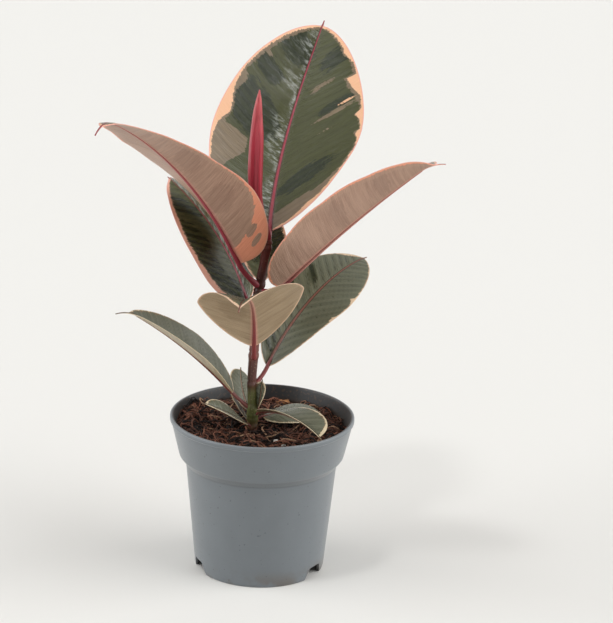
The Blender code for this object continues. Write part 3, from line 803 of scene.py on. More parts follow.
def direction(heading, pitch):
    """Forward and upward unit vectors of a leaf that points along a heading at a pitch."""
    turn, rise = math.radians(heading), math.radians(pitch)
    forward = Vector((math.cos(rise) * math.cos(turn), math.cos(rise) * math.sin(turn), math.sin(rise)))
    upward = Vector((-math.sin(rise) * math.cos(turn), -math.sin(rise) * math.sin(turn), math.cos(rise)))
    return forward, upward


def petiole_line(leaf, steps=12):
    """The petiole's centre line from the stem's skin to the blade, with its upward directions."""
    turn = math.radians(leaf.heading + leaf.petiole_turn)
    stem_radius = 3.2
    points = [stem_centre(leaf.node_height) + Vector((math.cos(turn), math.sin(turn), 0.0)) * stem_radius * MM]
    ups = []
    for step in range(steps + 1):
        share = (step + 0.5) / steps
        heading = leaf.heading + leaf.petiole_turn * max(0.0, 1.0 - share) ** 1.5
        forward, upward = direction(heading, leaf.petiole_pitch + (leaf.pitch - leaf.petiole_pitch) * share**2)
        ups.append(upward)
        if step < steps:
            points.append(points[-1] + forward * (leaf.petiole * MM / steps))
    return points, ups


def pitch_along(leaf, share):
    """The midrib's pitch at a share of the length: it falls evenly, and faster over the drip tip."""
    tip_share = (share - TIP_START) / (1.0 + leaf.tip / leaf.length - TIP_START)
    return leaf.pitch - leaf.droop * share - leaf.tip_bend * max(0.0, tip_share)


def rib_line(leaf, start, count=240):
    """The midrib as arrays: share of the length, point, side and upward direction."""
    end = 1.0 + leaf.tip / leaf.length
    point = start.copy()
    rows = []
    for number in range(count + 1):
        share = end * number / count
        forward, upward = direction(leaf.heading + leaf.sweep * share, pitch_along(leaf, share))
        side = forward.cross(upward)
        roll = math.radians(leaf.roll + leaf.twist * share)
        rolled_up = upward * math.cos(roll) + side * math.sin(roll)
        rolled_side = side * math.cos(roll) - upward * math.sin(roll)
        rows.append((share, *point, *rolled_side, *rolled_up))
        middle = end * (number + 0.5) / count
        ahead, _ = direction(leaf.heading + leaf.sweep * middle, pitch_along(leaf, middle))
        point += ahead * (leaf.length * MM * end / count)
    return np.array(rows)


def half_widths(leaf, share, across):
    """The blade's width on one side of its midrib, in millimetres, at shares of its length."""
    inside = np.clip(share, 0.0, 1.0)
    place = 2.0 * inside ** (math.log(0.5) / math.log(leaf.widest)) - 1.0
    body = 0.5 * leaf.width * np.clip(1.0 - np.abs(place) ** leaf.fullness, 0.0, 1.0) ** (1.0 / leaf.fullness)
    end = 1.0 + leaf.tip / leaf.length
    left = np.clip((end - share) / (end - TIP_START), 0.0, 1.0)
    drip = 0.03 * leaf.width * left * np.clip((share - 0.5) * 2.0, 0.0, None)
    return (body**3 + drip**3 + 0.4**3) ** (1.0 / 3.0) * (1.0 + np.sign(across) * leaf.lopsided)


def rib_radius(leaf, share):
    """The midrib's radius in millimetres: the petiole's at the blade's base, and 0.3 at its end."""
    return leaf.petiole_radius + (0.3 - leaf.petiole_radius) * share**0.6


def vein_place(leaf, share, across, width):
    """Millimetres along the midrib to where the lateral vein through a point leaves it."""
    q = np.abs(across)
    return share * leaf.length - width * (leaf.vein_lean * q + 0.18 * q * q)


def smooth(values, low, high):
    """0 up to the low value and 1 from the high one, with a smooth step between."""
    part = np.clip((values - low) / (high - low), 0.0, 1.0)
    return part * part * (3.0 - 2.0 * part)


def wobble(seed, values, size):
    """Smooth noise along one line, about -1 to 1."""
    table = np.array([noise.noise(Vector((step * 0.5, seed * 3.7, 0.3))) for step in range(200)]) * 1.6
    return np.interp(values / size * 2.0 + 20.0, np.arange(200), table)


def relief(leaf, share, across, width, seed):
    """The blade's swellings: height over its middle surface, in millimetres, and 0 at a vein to 1 between veins."""
    q = np.abs(across)
    side = np.where(across < 0.0, 0.0, 1.0)
    along = vein_place(leaf, share, across, width)
    along = along + 1.3 * wobble(seed, along + 57.0 * side, 14.0) + 1.0 * wobble(seed + 3, q * width, 9.0)
    swell = np.abs(np.sin(math.pi * (along + 3.1 * side) / leaf.vein_gap)) ** 0.75
    height = leaf.quilting * (swell - 0.6) * smooth(q, 0.03, 0.25) * (1.0 - 0.85 * smooth(q, 0.72, 0.98))
    fade = smooth(share, 0.0, 0.12) * (1.0 - smooth(share, 0.93, 1.0))
    swell = 1.0 + (swell - 1.0) * fade * smooth(q, 0.02, 0.12) * (1.0 - 0.7 * smooth(q, 0.75, 1.0))
    margin = wobble(seed + 11, share * leaf.length + 83.0 * side, 22.0)
    height = height * fade + leaf.wave * margin * q**2.5 * fade
    broad = wobble(seed + 5, share * leaf.length * 0.8 + 12.0 * across, 26.0) * q
    return height + 0.35 * leaf.wave * broad * fade, swell


def patch_fields(leaf, share, across, width, edge):
    """Signed depth, in millimetres, inside the cream, tan and deep green patches."""
    left = across < 0.0

    def banded(left_stops, right_stops):
        one = np.interp(share, *zip(*left_stops))
        other = np.interp(share, *zip(*right_stops))
        return np.where(left, one, other)

    cream_width = banded(leaf.cream_left, leaf.cream_right)
    cream = cream_width - edge
    tan = cream_width + banded(leaf.tan_left, leaf.tan_right) - edge
    deep = np.full(share.shape, -12.0)
    fields = [cream, tan, deep]
    along = vein_place(leaf, share, across, width)
    for blotch in leaf.blotches:
        here = np.array([blotch.share])
        sideways = np.array([blotch.across])
        middle_width = half_widths(leaf, here, sideways)
        middle = vein_place(leaf, here, sideways, middle_width)[0]
        step = (along - middle) / blotch.reach
        out = (across * width - blotch.across * middle_width[0]) / blotch.spread
        depth = (1.0 - np.sqrt(step**2 + out**2)) * math.sqrt(blotch.reach * blotch.spread) * 0.6
        if blotch.kind == PLAIN:
            fields[CREAM] = np.minimum(fields[CREAM], -3.0 * depth)
            fields[TAN] = np.minimum(fields[TAN], -3.0 * depth)
        else:
            fields[blotch.kind] = np.maximum(fields[blotch.kind], np.maximum(depth, -12.0))
    return np.stack(fields, axis=1)


def add_blade(shape, leaf, step):
    """A flat closed slab, from -1 to 1 across, whose rows the blade's shape is put on."""
    rows = max(24, round((leaf.length + leaf.tip) * MM / step))
    columns = 2 * max(8, round(leaf.width * MM / step * 0.36))
    bmesh.ops.create_grid(shape, x_segments=rows, y_segments=columns, size=1.0)
    top = shape.faces[:]
    made = bmesh.ops.extrude_face_region(shape, geom=top, use_keep_orig=True)["geom"]
    lower = [item for item in made if isinstance(item, bmesh.types.BMVert)]
    bmesh.ops.translate(shape, verts=lower, vec=(0.0, 0.0, -1.0))
    bmesh.ops.recalc_face_normals(shape, faces=shape.faces[:])


def add_rib(shape, leaf, rib, share_layer):
    """The petiole and the midrib under the blade, one tube that thins to the tip."""
    points, ups = petiole_line(leaf)
    stem_end = stem_centre(leaf.node_height)
    points = [stem_end.lerp(points[0], 0.45)] + points[:-1]
    ups = [ups[0]] + ups[:-1]
    start = leaf.petiole_radius * MM
    radii = [start * (1.32 - 0.32 * smooth(number / len(points), 0.05, 0.5)) for number in range(len(points))]
    shares = [0.0] * len(points)
    count = max(14, round(leaf.length / 3.0))
    for number in range(count + 1):
        share = 0.93 * (number / count) ** 1.25
        row = [np.interp(share, rib[:, 0], rib[:, column]) for column in range(1, 10)]
        upward = Vector(row[6:9])
        radius = rib_radius(leaf, share) * MM
        sunk = (0.35 * radius + 0.05 * MM) * float(smooth(share, 0.0, 0.07))
        points.append(Vector(row[0:3]) - upward * sunk)
        ups.append(upward)
        radii.append(radius)
        shares.append(share)
    flat = [1.0 - 0.65 * float(smooth(share, 0.0, 0.07)) for share in shares]

    def section(angle, part):
        number = round(part * (len(points) - 1))
        lift = math.cos(angle)
        return 1.0 if lift <= 0.0 else 1.0 / math.sqrt((lift / flat[number]) ** 2 + 1.0 - lift * lift)

    add_tube(shape, points, radii, 12, ups, section, share_layer, shares)


def shape_blade(leaf, number, grid, rib, thickness):
    """Puts the points of the flat slab on the blade, in metres.

    Returns the points, which of them are on the underside, and the fields that the colours follow.
    """
    end = 1.0 + leaf.tip / leaf.length
    row = (grid[:, 0] + 1.0) * 0.5
    share = end * (0.45 * row + 0.55 * (0.5 - 0.5 * np.cos(math.pi * row)))
    column = -grid[:, 1]
    across = column - np.sign(column) * 0.12 * np.sin(2.0 * math.pi * np.abs(column))
    lower = grid[:, 2] < -0.5

    width = half_widths(leaf, share, across)
    before, after = np.clip(share - 0.002, 0.0, None), share + 0.002
    slope = (half_widths(leaf, after, across) - half_widths(leaf, before, across)) / (0.004 * leaf.length)
    at = [np.interp(share, rib[:, 0], rib[:, column]) for column in range(1, 10)]
    point, side, upward = (np.stack(at[index : index + 3], axis=1) for index in (0, 3, 6))
    fold = np.radians(leaf.fold + leaf.unfold * share)
    curl = math.radians(leaf.curl)
    q = np.abs(across)
    turn = fold + curl * q
    out = width / curl * (np.sin(turn) - np.sin(fold))
    rise = width / curl * (np.cos(fold) - np.cos(turn))
    facing = across / np.sqrt(across**2 + (1.0 / width) ** 2)
    normal = upward * np.cos(turn)[:, None] - side * (facing * np.sin(turn))[:, None]
    normal /= np.linalg.norm(normal, axis=1)[:, None]
    middle = point + (side * (np.sign(across) * out)[:, None] + upward * rise[:, None]) * MM

    rib_mm = q * width
    half_line = 0.70 * rib_radius(leaf, np.clip(share, 0.0, 1.0)) + 0.12
    thick = thickness / MM * min(1.0, 0.6 + leaf.length / 250.0) * np.sqrt(1.0 - 0.85 * q**8)
    height, swell = relief(leaf, share, across, width, number)
    groove = 0.30 * np.exp(-((rib_mm / (half_line * 2.2)) ** 2)) * (1.0 - smooth(share, 0.9, 1.0))
    lift = np.where(lower, height - 0.5 * thick, height + 0.5 * thick - groove * np.clip(width / 4.0, 0.0, 1.0))

    edge = (1.0 - q) * width / np.sqrt(1.0 + slope**2)
    along = vein_place(leaf, share, across, width)
    fields = {
        "vein_place": np.stack([along, across * width, np.full(len(share), 37.0 * number)], axis=1),
        "patch_fields": patch_fields(leaf, share, across, width, edge),
        "edge_mm": edge,
        "swell": swell,
        "rib_mm": rib_mm,
        "rib_half_mm": half_line,
    }
    return middle + normal * lift[:, None] * MM, lower, fields


def make_leaf(leaf, number, settings, materials):
    """One leaf: a quilted, closed blade and its petiole and midrib, with the fields its colours follow."""
    name = leaf.node.replace("leaf_", "blade_")
    shape = bmesh.new()
    add_blade(shape, leaf, settings.mesh_step * min(1.0, 0.45 + leaf.length / 160.0))
    shares = shape.verts.layers.float.new("rib_share")
    blade_faces, blade_verts = len(shape.faces), len(shape.verts)
    petiole, _ = petiole_line(leaf)
    rib = rib_line(leaf, petiole[-1])
    add_rib(shape, leaf, rib, shares)
    shape.faces.ensure_lookup_table()
    for face in shape.faces[blade_faces:]:
        face.material_index = 1
    bmesh.ops.recalc_face_normals(shape, faces=shape.faces[blade_faces:])
    mesh = mesh_from(shape, name)

    points = coordinates(mesh)
    total = len(points)
    placed, lower, fields = shape_blade(leaf, number, points[:blade_verts], rib, settings.thickness)
    points[:blade_verts] = placed
    set_coordinates(mesh, points)
    for label, values in fields.items():
        full = np.zeros((total,) + values.shape[1:])
        full[:blade_verts] = values
        set_attribute(mesh, label, full)
    under = np.zeros(len(mesh.polygons))
    corner_lower = np.zeros(total)
    corner_lower[:blade_verts] = lower
    for face in mesh.polygons:
        under[face.index] = min(corner_lower[vert] for vert in face.vertices)
    set_attribute(mesh, "under", under, "FACE")
    piece = finish_mesh(mesh, name, materials, "leaf", leaf.node)
    check_place(piece, leaf.node, 4.0 * MM)


# ---------------------------------------------------------------- stem and sheath


def stem_material():
    """Young bark: green low down, dark red-brown above, with lengthwise lines and pale dots."""
    material, n, skin = new_material("stem skin")
    height = n.split(n.place())[2]
    lines = n.noise(n.stretch(n.place(), (700.0, 700.0, 60.0)), 1.0, 3.0)
    dots = n.noise(n.place(), 900.0, 1.0)
    grain = n.group(group_named("grain"), Place=n.place(), Size=700.0)
    tone = (0.115, 0.048, 0.028)
    for low, high, above in (
        (0.094, 0.104, (0.095, 0.105, 0.028)),
        (0.118, 0.127, (0.085, 0.026, 0.018)),
        (0.138, 0.146, (0.150, 0.045, 0.033)),
        (0.152, 0.166, (0.062, 0.017, 0.013)),
        (0.196, 0.212, (0.135, 0.026, 0.022)),
    ):
        tone = n.mix(n.ramp(height, low, high), tone, above)
    tone = n.mix(n.ramp(lines, 0.42, 0.72, 0.0, 0.55), tone, (0.026, 0.010, 0.007))
    tone = n.mix(n.ramp(dots, 0.66, 0.72, 0.0, 0.5), tone, (0.300, 0.190, 0.120))
    n.feed(skin["Base Color"], tone)
    n.feed(skin["Roughness"], n.ramp(grain["Grain"], 0.3, 0.7, 0.30, 0.50))
    n.bump(skin, n.math("ADD", lines, n.math("MULTIPLY", dots, 0.6)), 0.5, 0.0003)
    return material


def sheath_material():
    """Red rolled stipule: glossy, with lengthwise veins and a paler tip and seam."""
    material, n, skin = new_material("red sheath skin")
    height = n.split(n.place())[2]
    lines = n.noise(n.stretch(n.place(), (900.0, 900.0, 45.0)), 1.0, 3.0)
    tone = n.mix(n.ramp(height, 0.226, 0.262), (0.240, 0.022, 0.034), (0.420, 0.034, 0.056))
    tone = n.mix(n.ramp(height, 0.285, 0.32), tone, (0.470, 0.070, 0.075))
    tone = n.mix(n.ramp(lines, 0.45, 0.75, 0.0, 0.6), tone, (0.185, 0.016, 0.022))
    tone = n.mix(n.ramp(lines, 0.20, 0.38, 0.5, 0.0), tone, (0.620, 0.150, 0.150))
    n.feed(skin["Base Color"], tone)
    n.feed(skin["Roughness"], n.ramp(lines, 0.2, 0.8, 0.26, 0.42))
    n.bump(skin, lines, 0.35, 0.0003)
    return material


def make_stem():
    """The stem with a swelling and a ring scar at each leaf."""
    rows = through(STEM_LINE, 170)
    knots = sorted(leaf.node_height for leaf in LEAVES)
    radii = []
    for row in rows:
        radius = row[3] * (1.0 + 0.03 * noise.noise(Vector((row[2] * 0.12, 1.7, 0.0))))
        for knot in knots:
            radius += 0.38 * math.exp(-(((row[2] - knot) / 1.6) ** 2))
            radius -= 0.30 * math.exp(-(((row[2] - knot - 2.6) / 0.5) ** 2))
            radius += 0.16 * math.exp(-(((row[2] - knot - 3.5) / 0.5) ** 2))
        radii.append(min(radius, row[3] + 0.55) * MM)
    shape = bmesh.new()
    add_tube(
        shape,
        [Vector(row[:3]) * MM for row in rows],
        radii,
        28,
        section=lambda angle, part: 1.0 + 0.03 * math.sin(3.0 * angle + 5.0 * part) + 0.015 * math.sin(7.0 * angle),
    )
    bmesh.ops.recalc_face_normals(shape, faces=shape.faces[:])
    finish_mesh(mesh_from(shape, "stem_bark"), "stem_bark", [stem_material()], "stem", "stem")


def make_sheath():
    """The rolled stipule over the bud: a ridged, twisted spindle with an overlapping seam."""
    rows = through(SHEATH_LINE, 90)

    def section(angle, part):
        turned_angle = angle + 1.1 * part
        ridge = 0.035 * math.cos(5.0 * turned_angle) + 0.02 * math.cos(11.0 * turned_angle + 1.0)
        seam = 0.10 * math.exp(-(((turned_angle + 0.9 + math.pi) % (2.0 * math.pi) - math.pi) / 0.22) ** 2)
        return 0.97 + (ridge + seam) * math.sin(math.pi * min(1.0, part * 1.05 + 0.02))

    shape = bmesh.new()
    radii = [max(row[3], 0.25) * MM for row in rows]
    add_tube(shape, [Vector(row[:3]) * MM for row in rows], radii, 40, section=section)
    bmesh.ops.recalc_face_normals(shape, faces=shape.faces[:])
    finish_mesh(mesh_from(shape, "red_sheath"), "red_sheath", [sheath_material()], "bud_sheath", "bud_sheath")


# ---------------------------------------------------------------- pot


def pot_radius(height):
    """The pot wall's outer radius at a height, in millimetres."""
    heights = (FOOT_ROUNDING, LEDGE_LOW, LEDGE_HIGH, COLLAR_TOP)
    return float(np.interp(height, heights, (WALL_START, LEDGE_INNER, LEDGE_OUTER, COLLAR_RADIUS)))


def rounded(profile, steps=5):
    """A (radius, height) outline whose corners are rounded. Each corner is (radius, height, rounding)."""
    made = []
    for number, (x, z, rounding) in enumerate(profile):
        corner = np.array((x, z))
        if rounding <= 0.0 or number in (0, len(profile) - 1):
            made.append(corner)
            continue
        before = np.array(profile[number - 1][:2]) - corner
        after = np.array(profile[number + 1][:2]) - corner
        start = corner + before / np.linalg.norm(before) * min(rounding, 0.45 * np.linalg.norm(before))
        stop = corner + after / np.linalg.norm(after) * min(rounding, 0.45 * np.linalg.norm(after))
        for step in range(steps + 1):
            part = step / steps
            made.append((1 - part) ** 2 * start + 2 * part * (1 - part) * corner + part**2 * stop)
    return made


def turned(shape, profile, steps):
    """Spins a (radius, height) outline, in millimetres, about the Z axis."""
    corners = [shape.verts.new((max(x, 0.0) * MM, 0.0, z * MM)) for x, z in profile]
    edges = [shape.edges.new(pair) for pair in zip(corners, corners[1:])]
    bmesh.ops.spin(
        shape,
        geom=corners + edges,
        cent=(0.0, 0.0, 0.0),
        axis=(0.0, 0.0, 1.0),
        angle=2.0 * math.pi,
        steps=steps,
        use_merge=True,
    )
    bmesh.ops.remove_doubles(shape, verts=shape.verts[:], dist=1e-6)
    bmesh.ops.recalc_face_normals(shape, faces=shape.faces[:])


def pot_material(settings):
    """Moulded grey plastic: even outside with faint scuffs and specks, a painted highlight on the lip and painted
    shade on the step and inside the foot; inside, painted shade that makes it dark, with dust near the soil.
    """
    material, n, skin = new_material("pot plastic, moulded")
    place = n.place()
    axes = n.split(place)
    radius = n.math("SQRT", n.math("ADD", n.math("MULTIPLY", axes[0], axes[0]), n.math("MULTIPLY", axes[1], axes[1])))
    slope = (COLLAR_RADIUS - LEDGE_OUTER) / (COLLAR_TOP - LEDGE_HIGH)
    wall = n.math("MULTIPLY_ADD", axes[2], slope, (LEDGE_OUTER - LEDGE_HIGH * slope - 0.6) * MM)
    above_mix = n.ramp(axes[2], SOIL_TOP - 6.0 * MM, SOIL_TOP - 4.0 * MM)
    inner = n.math("MULTIPLY", n.ramp(n.math("SUBTRACT", wall, radius), 0.0, 0.4 * MM), above_mix)
    grain = n.group(group_named("grain"), Place=place, Size=1500.0)
    scuffs = n.noise(n.stretch(place, (260.0, 260.0, 1400.0)), 1.0, 2.0, 0.6)
    tone = n.mix(n.ramp(grain["Clouds"], 0.3, 0.7, 0.0, 0.5), settings.outside, shade(settings.outside, 0.90))
    tone = n.mix(n.ramp(scuffs, 0.66, 0.74, 0.0, 0.35), tone, shade(settings.outside, 1.35))
    specks = n.noise(place, 620.0, 0.0)
    tone = n.mix(n.ramp(specks, 0.80, 0.83, 0.0, 0.7), tone, shade(settings.outside, 0.45))
    foot = n.math("MULTIPLY", n.ramp(axes[2], 0.001, 0.014, 1.0, 0.0), n.ramp(grain["Clouds"], 0.45, 0.62))
    tone = n.mix(n.math("MULTIPLY", foot, 0.55), tone, (0.105, 0.080, 0.058))
    # Painted highlight: the top of the lip is made lighter.
    lip = n.math("MULTIPLY", n.ramp(axes[2], POT_HEIGHT - 1.0 * MM, POT_HEIGHT - 0.2 * MM), 0.35)
    tone = n.mix(lip, tone, shade(settings.outside, 1.5))
    uneven = n.math("ADD", axes[2], n.math("MULTIPLY", grain["Clouds"], 6.0 * MM))
    dust = n.ramp(uneven, SOIL_TOP + 2.5 * MM, SOIL_TOP + 6.5 * MM, 0.7, 0.0)
    # The near-black inner face is painted shade; the brown near the soil and the specks are dust.
    inside = n.mix(dust, settings.inside, (0.045, 0.028, 0.020))
    inside = n.mix(n.ramp(specks, 0.62, 0.70, 0.0, 0.6), inside, (0.075, 0.045, 0.030))
    # Painted shade on the sloping step beneath the collar.
    from_below = n.ramp(axes[2], (LEDGE_LOW - 1.4) * MM, (LEDGE_LOW + 0.4) * MM)
    to_collar = n.ramp(axes[2], (LEDGE_HIGH - 1.5) * MM, (LEDGE_HIGH - 0.5) * MM, 1.0, 0.0)
    painted_ledge_shade = n.math("MULTIPLY", from_below, to_collar)
    tone = n.mix(n.math("MULTIPLY", painted_ledge_shade, 0.5), tone, shade(settings.outside, 0.45))
    # Painted shade inside the foot, under the pot's floor, where the drain notches look in.
    within = n.ramp(radius, (FOOT_RADIUS - 0.8) * MM, (FOOT_RADIUS - 0.3) * MM, 1.0, 0.0)
    low_down = n.ramp(axes[2], (FLOOR_HEIGHT + 1.5) * MM, (FLOOR_HEIGHT + 2.5) * MM, 1.0, 0.0)
    painted_foot_shade = n.math("MULTIPLY", within, low_down)
    tone = n.mix(painted_foot_shade, tone, shade(settings.inside, 0.5))
    n.feed(skin["Base Color"], n.mix(inner, tone, inside))
    skin["Sheen Weight"].default_value = 0.25
    skin["Sheen Roughness"].default_value = 0.45
    rough = n.ramp(grain["Grain"], 0.25, 0.75, 0.36, 0.46)
    rough = n.math("ADD", rough, n.math("MULTIPLY", n.ramp(scuffs, 0.6, 0.75), 0.12))
    n.feed(skin["Roughness"], n.math("SUBTRACT", rough, n.math("MULTIPLY", inner, 0.06)))
    height = n.math("ADD", grain["Grain"], n.math("MULTIPLY", grain["Clouds"], 1.5))
    n.bump(skin, height, 0.10, 0.0003)
    return material


def notch_cutter(heading):
    """A wedge with sloping ends, for one drain notch through the foot of the wall."""
    shape = bmesh.new()
    bmesh.ops.create_cube(shape, size=1.0)
    for vert in shape.verts:
        width, height = (NOTCH_TOP_WIDTH, FLOOR_HEIGHT) if vert.co.z > 0 else (NOTCH_WIDTH, -2.0)
        vert.co = Vector((FOOT_RADIUS + vert.co.x * 14.0, vert.co.y * width, height))
    slanted = [edge for edge in shape.edges if abs(edge.verts[0].co.x - edge.verts[1].co.x) > 5.0]
    upper = [edge for edge in slanted if edge.verts[0].co.z > 0]
    bmesh.ops.bevel(
        shape, geom=upper, offset=1.6, offset_type="OFFSET", segments=4, profile=0.5, affect="EDGES", material=-1
    )
    bmesh.ops.scale(shape, vec=(MM, MM, MM), verts=shape.verts[:])
    turn = Matrix.Rotation(math.radians(heading), 3, "Z")
    bmesh.ops.rotate(shape, cent=(0, 0, 0), matrix=turn, verts=shape.verts[:])
    bmesh.ops.recalc_face_normals(shape, faces=shape.faces[:])
    cutter = bpy.data.objects.new("notch_cutter", mesh_from(shape, "notch_cutter"))
    bpy.context.scene.collection.objects.link(cutter)
    return cutter


def make_pot(settings):
    """A thin turned pot with a rounded lip, a wide collar, a stepped wall and three drain notches."""
    top, rim, wall = POT_HEIGHT / MM, RIM_RADIUS / MM, settings.wall / MM
    floor_top = FLOOR_HEIGHT + wall
    inside = ((floor_top, 1.6), (LEDGE_LOW + 0.6, 1.6), (LEDGE_HIGH + 0.6, 1.6), (top - 1.0, 0.5))
    profile = [
        (0.0, wall, 0.0),
        (23.2, wall, 0.6),
        (24.8, floor_top, 0.8),
        *((pot_radius(height) - wall, height, rounding) for height, rounding in inside),
        (rim - 2.0, top, 0.5),
        (rim, top, 0.9),
        (rim, top - 2.8, 0.5),
        (pot_radius(101.2) + 0.1, top - 3.3, 0.5),
        (LEDGE_OUTER, LEDGE_HIGH, 0.7),
        (LEDGE_INNER, LEDGE_LOW, 1.1),
        (WALL_START, FOOT_ROUNDING, 1.5),
        (FOOT_RADIUS, 0.0, 0.7),
        (40.1, 0.0, 0.5),
        (39.7, FLOOR_HEIGHT, 0.8),
        (25.6, FLOOR_HEIGHT, 0.8),
        (24.0, 0.0, 0.6),
        (0.0, 0.0, 0.0),
    ]
    shape = bmesh.new()
    turned(shape, rounded(profile), settings.steps)
    pot = bpy.data.objects.new("pot_blank", mesh_from(shape, "pot_blank"))
    bpy.context.scene.collection.objects.link(pot)
    cutters = [notch_cutter(heading) for heading in NOTCH_HEADINGS]
    for cutter in cutters:
        cut = pot.modifiers.new("Notch", "BOOLEAN")
        cut.operation, cut.solver, cut.object = "DIFFERENCE", "EXACT", cutter
    mesh = bpy.data.meshes.new_from_object(pot.evaluated_get(bpy.context.evaluated_depsgraph_get()))
    for item in cutters + [pot]:
        bpy.data.objects.remove(item)
    piece = finish_mesh(mesh, "nursery_pot", [pot_material(settings)], "pot_plastic", "pot")
    mesh.set_sharp_from_angle(angle=math.radians(55.0))
    check_place(piece, "pot", 0.5 * MM)


# ---------------------------------------------------------------- potting mix


def soil_height(x, y, unevenness):
    """Height of the potting mix at a place, in metres: lumpy, and heaped up at the left and behind."""
    spot = Vector((x, y, 0.0)) * 1000.0
    lumps = noise.noise(spot / 13.0) * 0.9 + noise.noise(spot / 5.5 + Vector((9.0, 0.0, 0.0))) * 0.55
    lumps += noise.noise(spot / 2.2 + Vector((0.0, 5.0, 0.0))) * 0.35
    reach = math.hypot(x, y) / (56.0 * MM)
    heap = 4.8 * MM * max(0.0, min(1.0, (-x / MM - 20.0) / 26.0)) * (1.0 if y > -0.03 else 0.4)
    edge = -1.2 * MM * max(0.0, reach - 0.93) / 0.07
    return SOIL_TOP + 0.2 * MM + lumps * unevenness * 0.8 + heap + edge


def soil_material(settings):
    """Damp peat: dark gaps, red-brown fibre and pale specks."""
    material, n, skin = new_material("potting mix, damp")
    place = n.place()
    grain = n.group(group_named("grain"), Place=place, Size=900.0)
    threads = n.noise(n.stretch(place, (300.0, 1500.0, 700.0)), 1.0, 3.0, 0.6)
    crossing = n.noise(n.stretch(place, (1500.0, 320.0, 700.0)), 1.0, 3.0, 0.6)
    tone = n.mix(n.ramp(grain["Grain"], 0.35, 0.65), settings.dark, shade(settings.brown, 0.55))
    tone = n.mix(n.ramp(threads, 0.58, 0.68, 0.0, 0.8), tone, settings.brown)
    tone = n.mix(n.ramp(crossing, 0.60, 0.70, 0.0, 0.7), tone, shade(settings.brown, 0.8))
    tone = n.mix(n.math("MULTIPLY", grain["Marks"], 0.5), tone, settings.pale)
    n.feed(skin["Base Color"], tone)
    skin["Specular IOR Level"].default_value = 0.25
    n.feed(skin["Roughness"], n.ramp(grain["Grain"], 0.2, 0.8, 0.80, 0.95))
    height = n.math("ADD", grain["Grain"], n.math("MAXIMUM", threads, crossing))
    n.bump(skin, height, 0.9, 0.0009)
    return material


def litter_material(settings):
    """Fibres and crumbs of the potting mix, each in a tone of its own."""
    material, n, skin = new_material("coir and peat")
    tone_share = n.attribute("tone")
    grain = n.noise(n.place(), 1400.0, 3.0)
    tone = n.mix(n.ramp(tone_share, 0.12, 0.55), settings.dark, settings.brown)
    tone = n.mix(n.ramp(tone_share, 0.55, 0.80), tone, shade(settings.brown, 1.9))
    tone = n.mix(n.ramp(tone_share, 0.86, 0.96), tone, settings.pale)
    tone = n.mix(n.ramp(grain, 0.4, 0.7, 0.0, 0.6), tone, settings.dark)
    n.feed(skin["Base Color"], tone)
    skin["Specular IOR Level"].default_value = 0.3
    n.feed(skin["Roughness"], n.ramp(grain, 0.2, 0.8, 0.7, 0.92))
    n.bump(skin, grain, 0.6, 0.0004)
    return material


def make_soil_bed(settings):
    """The body of the mix: turned to the pot's inside, with a lumpy top."""
    wall = WALL + 0.3
    top = [(float(x), SOIL_TOP / MM) for x in np.linspace(0.0, pot_radius(94.0) - wall, 76)]
    floor_top = FLOOR_HEIGHT + wall
    heights = (90.0, 84.0, LEDGE_HIGH + 0.6, LEDGE_LOW + 0.6, 40.0, floor_top)
    side = [(pot_radius(height) - wall, height) for height in heights]
    under = [(24.4, floor_top), (22.8, wall), (0.0, wall)]
    shape = bmesh.new()
    turned(shape, top + side + under, 260)
    for vert in shape.verts:
        if vert.co.z > SOIL_TOP - 0.5 * MM:
            vert.co.z = soil_height(vert.co.x, vert.co.y, settings.roughness_height)
    mesh = mesh_from(shape, "soil_bed")
    piece = finish_mesh(mesh, "soil_bed", [soil_material(settings)], "potting_mix", "potting_mix")
    check_place(piece, "potting_mix", 9.0 * MM)


def near_stem(x, y, clearance):
    return math.hypot(x - STEM_LINE[0][0] * MM, y) < clearance


def near_chip(x, y):
    """True where a fibre would lie over the bark chip."""
    beside = CHIP_LOW.x - 2.0 * MM < x < CHIP_HIGH.x + 2.0 * MM
    return beside and CHIP_LOW.y - 3.0 * MM < y < CHIP_HIGH.y + 1.0 * MM


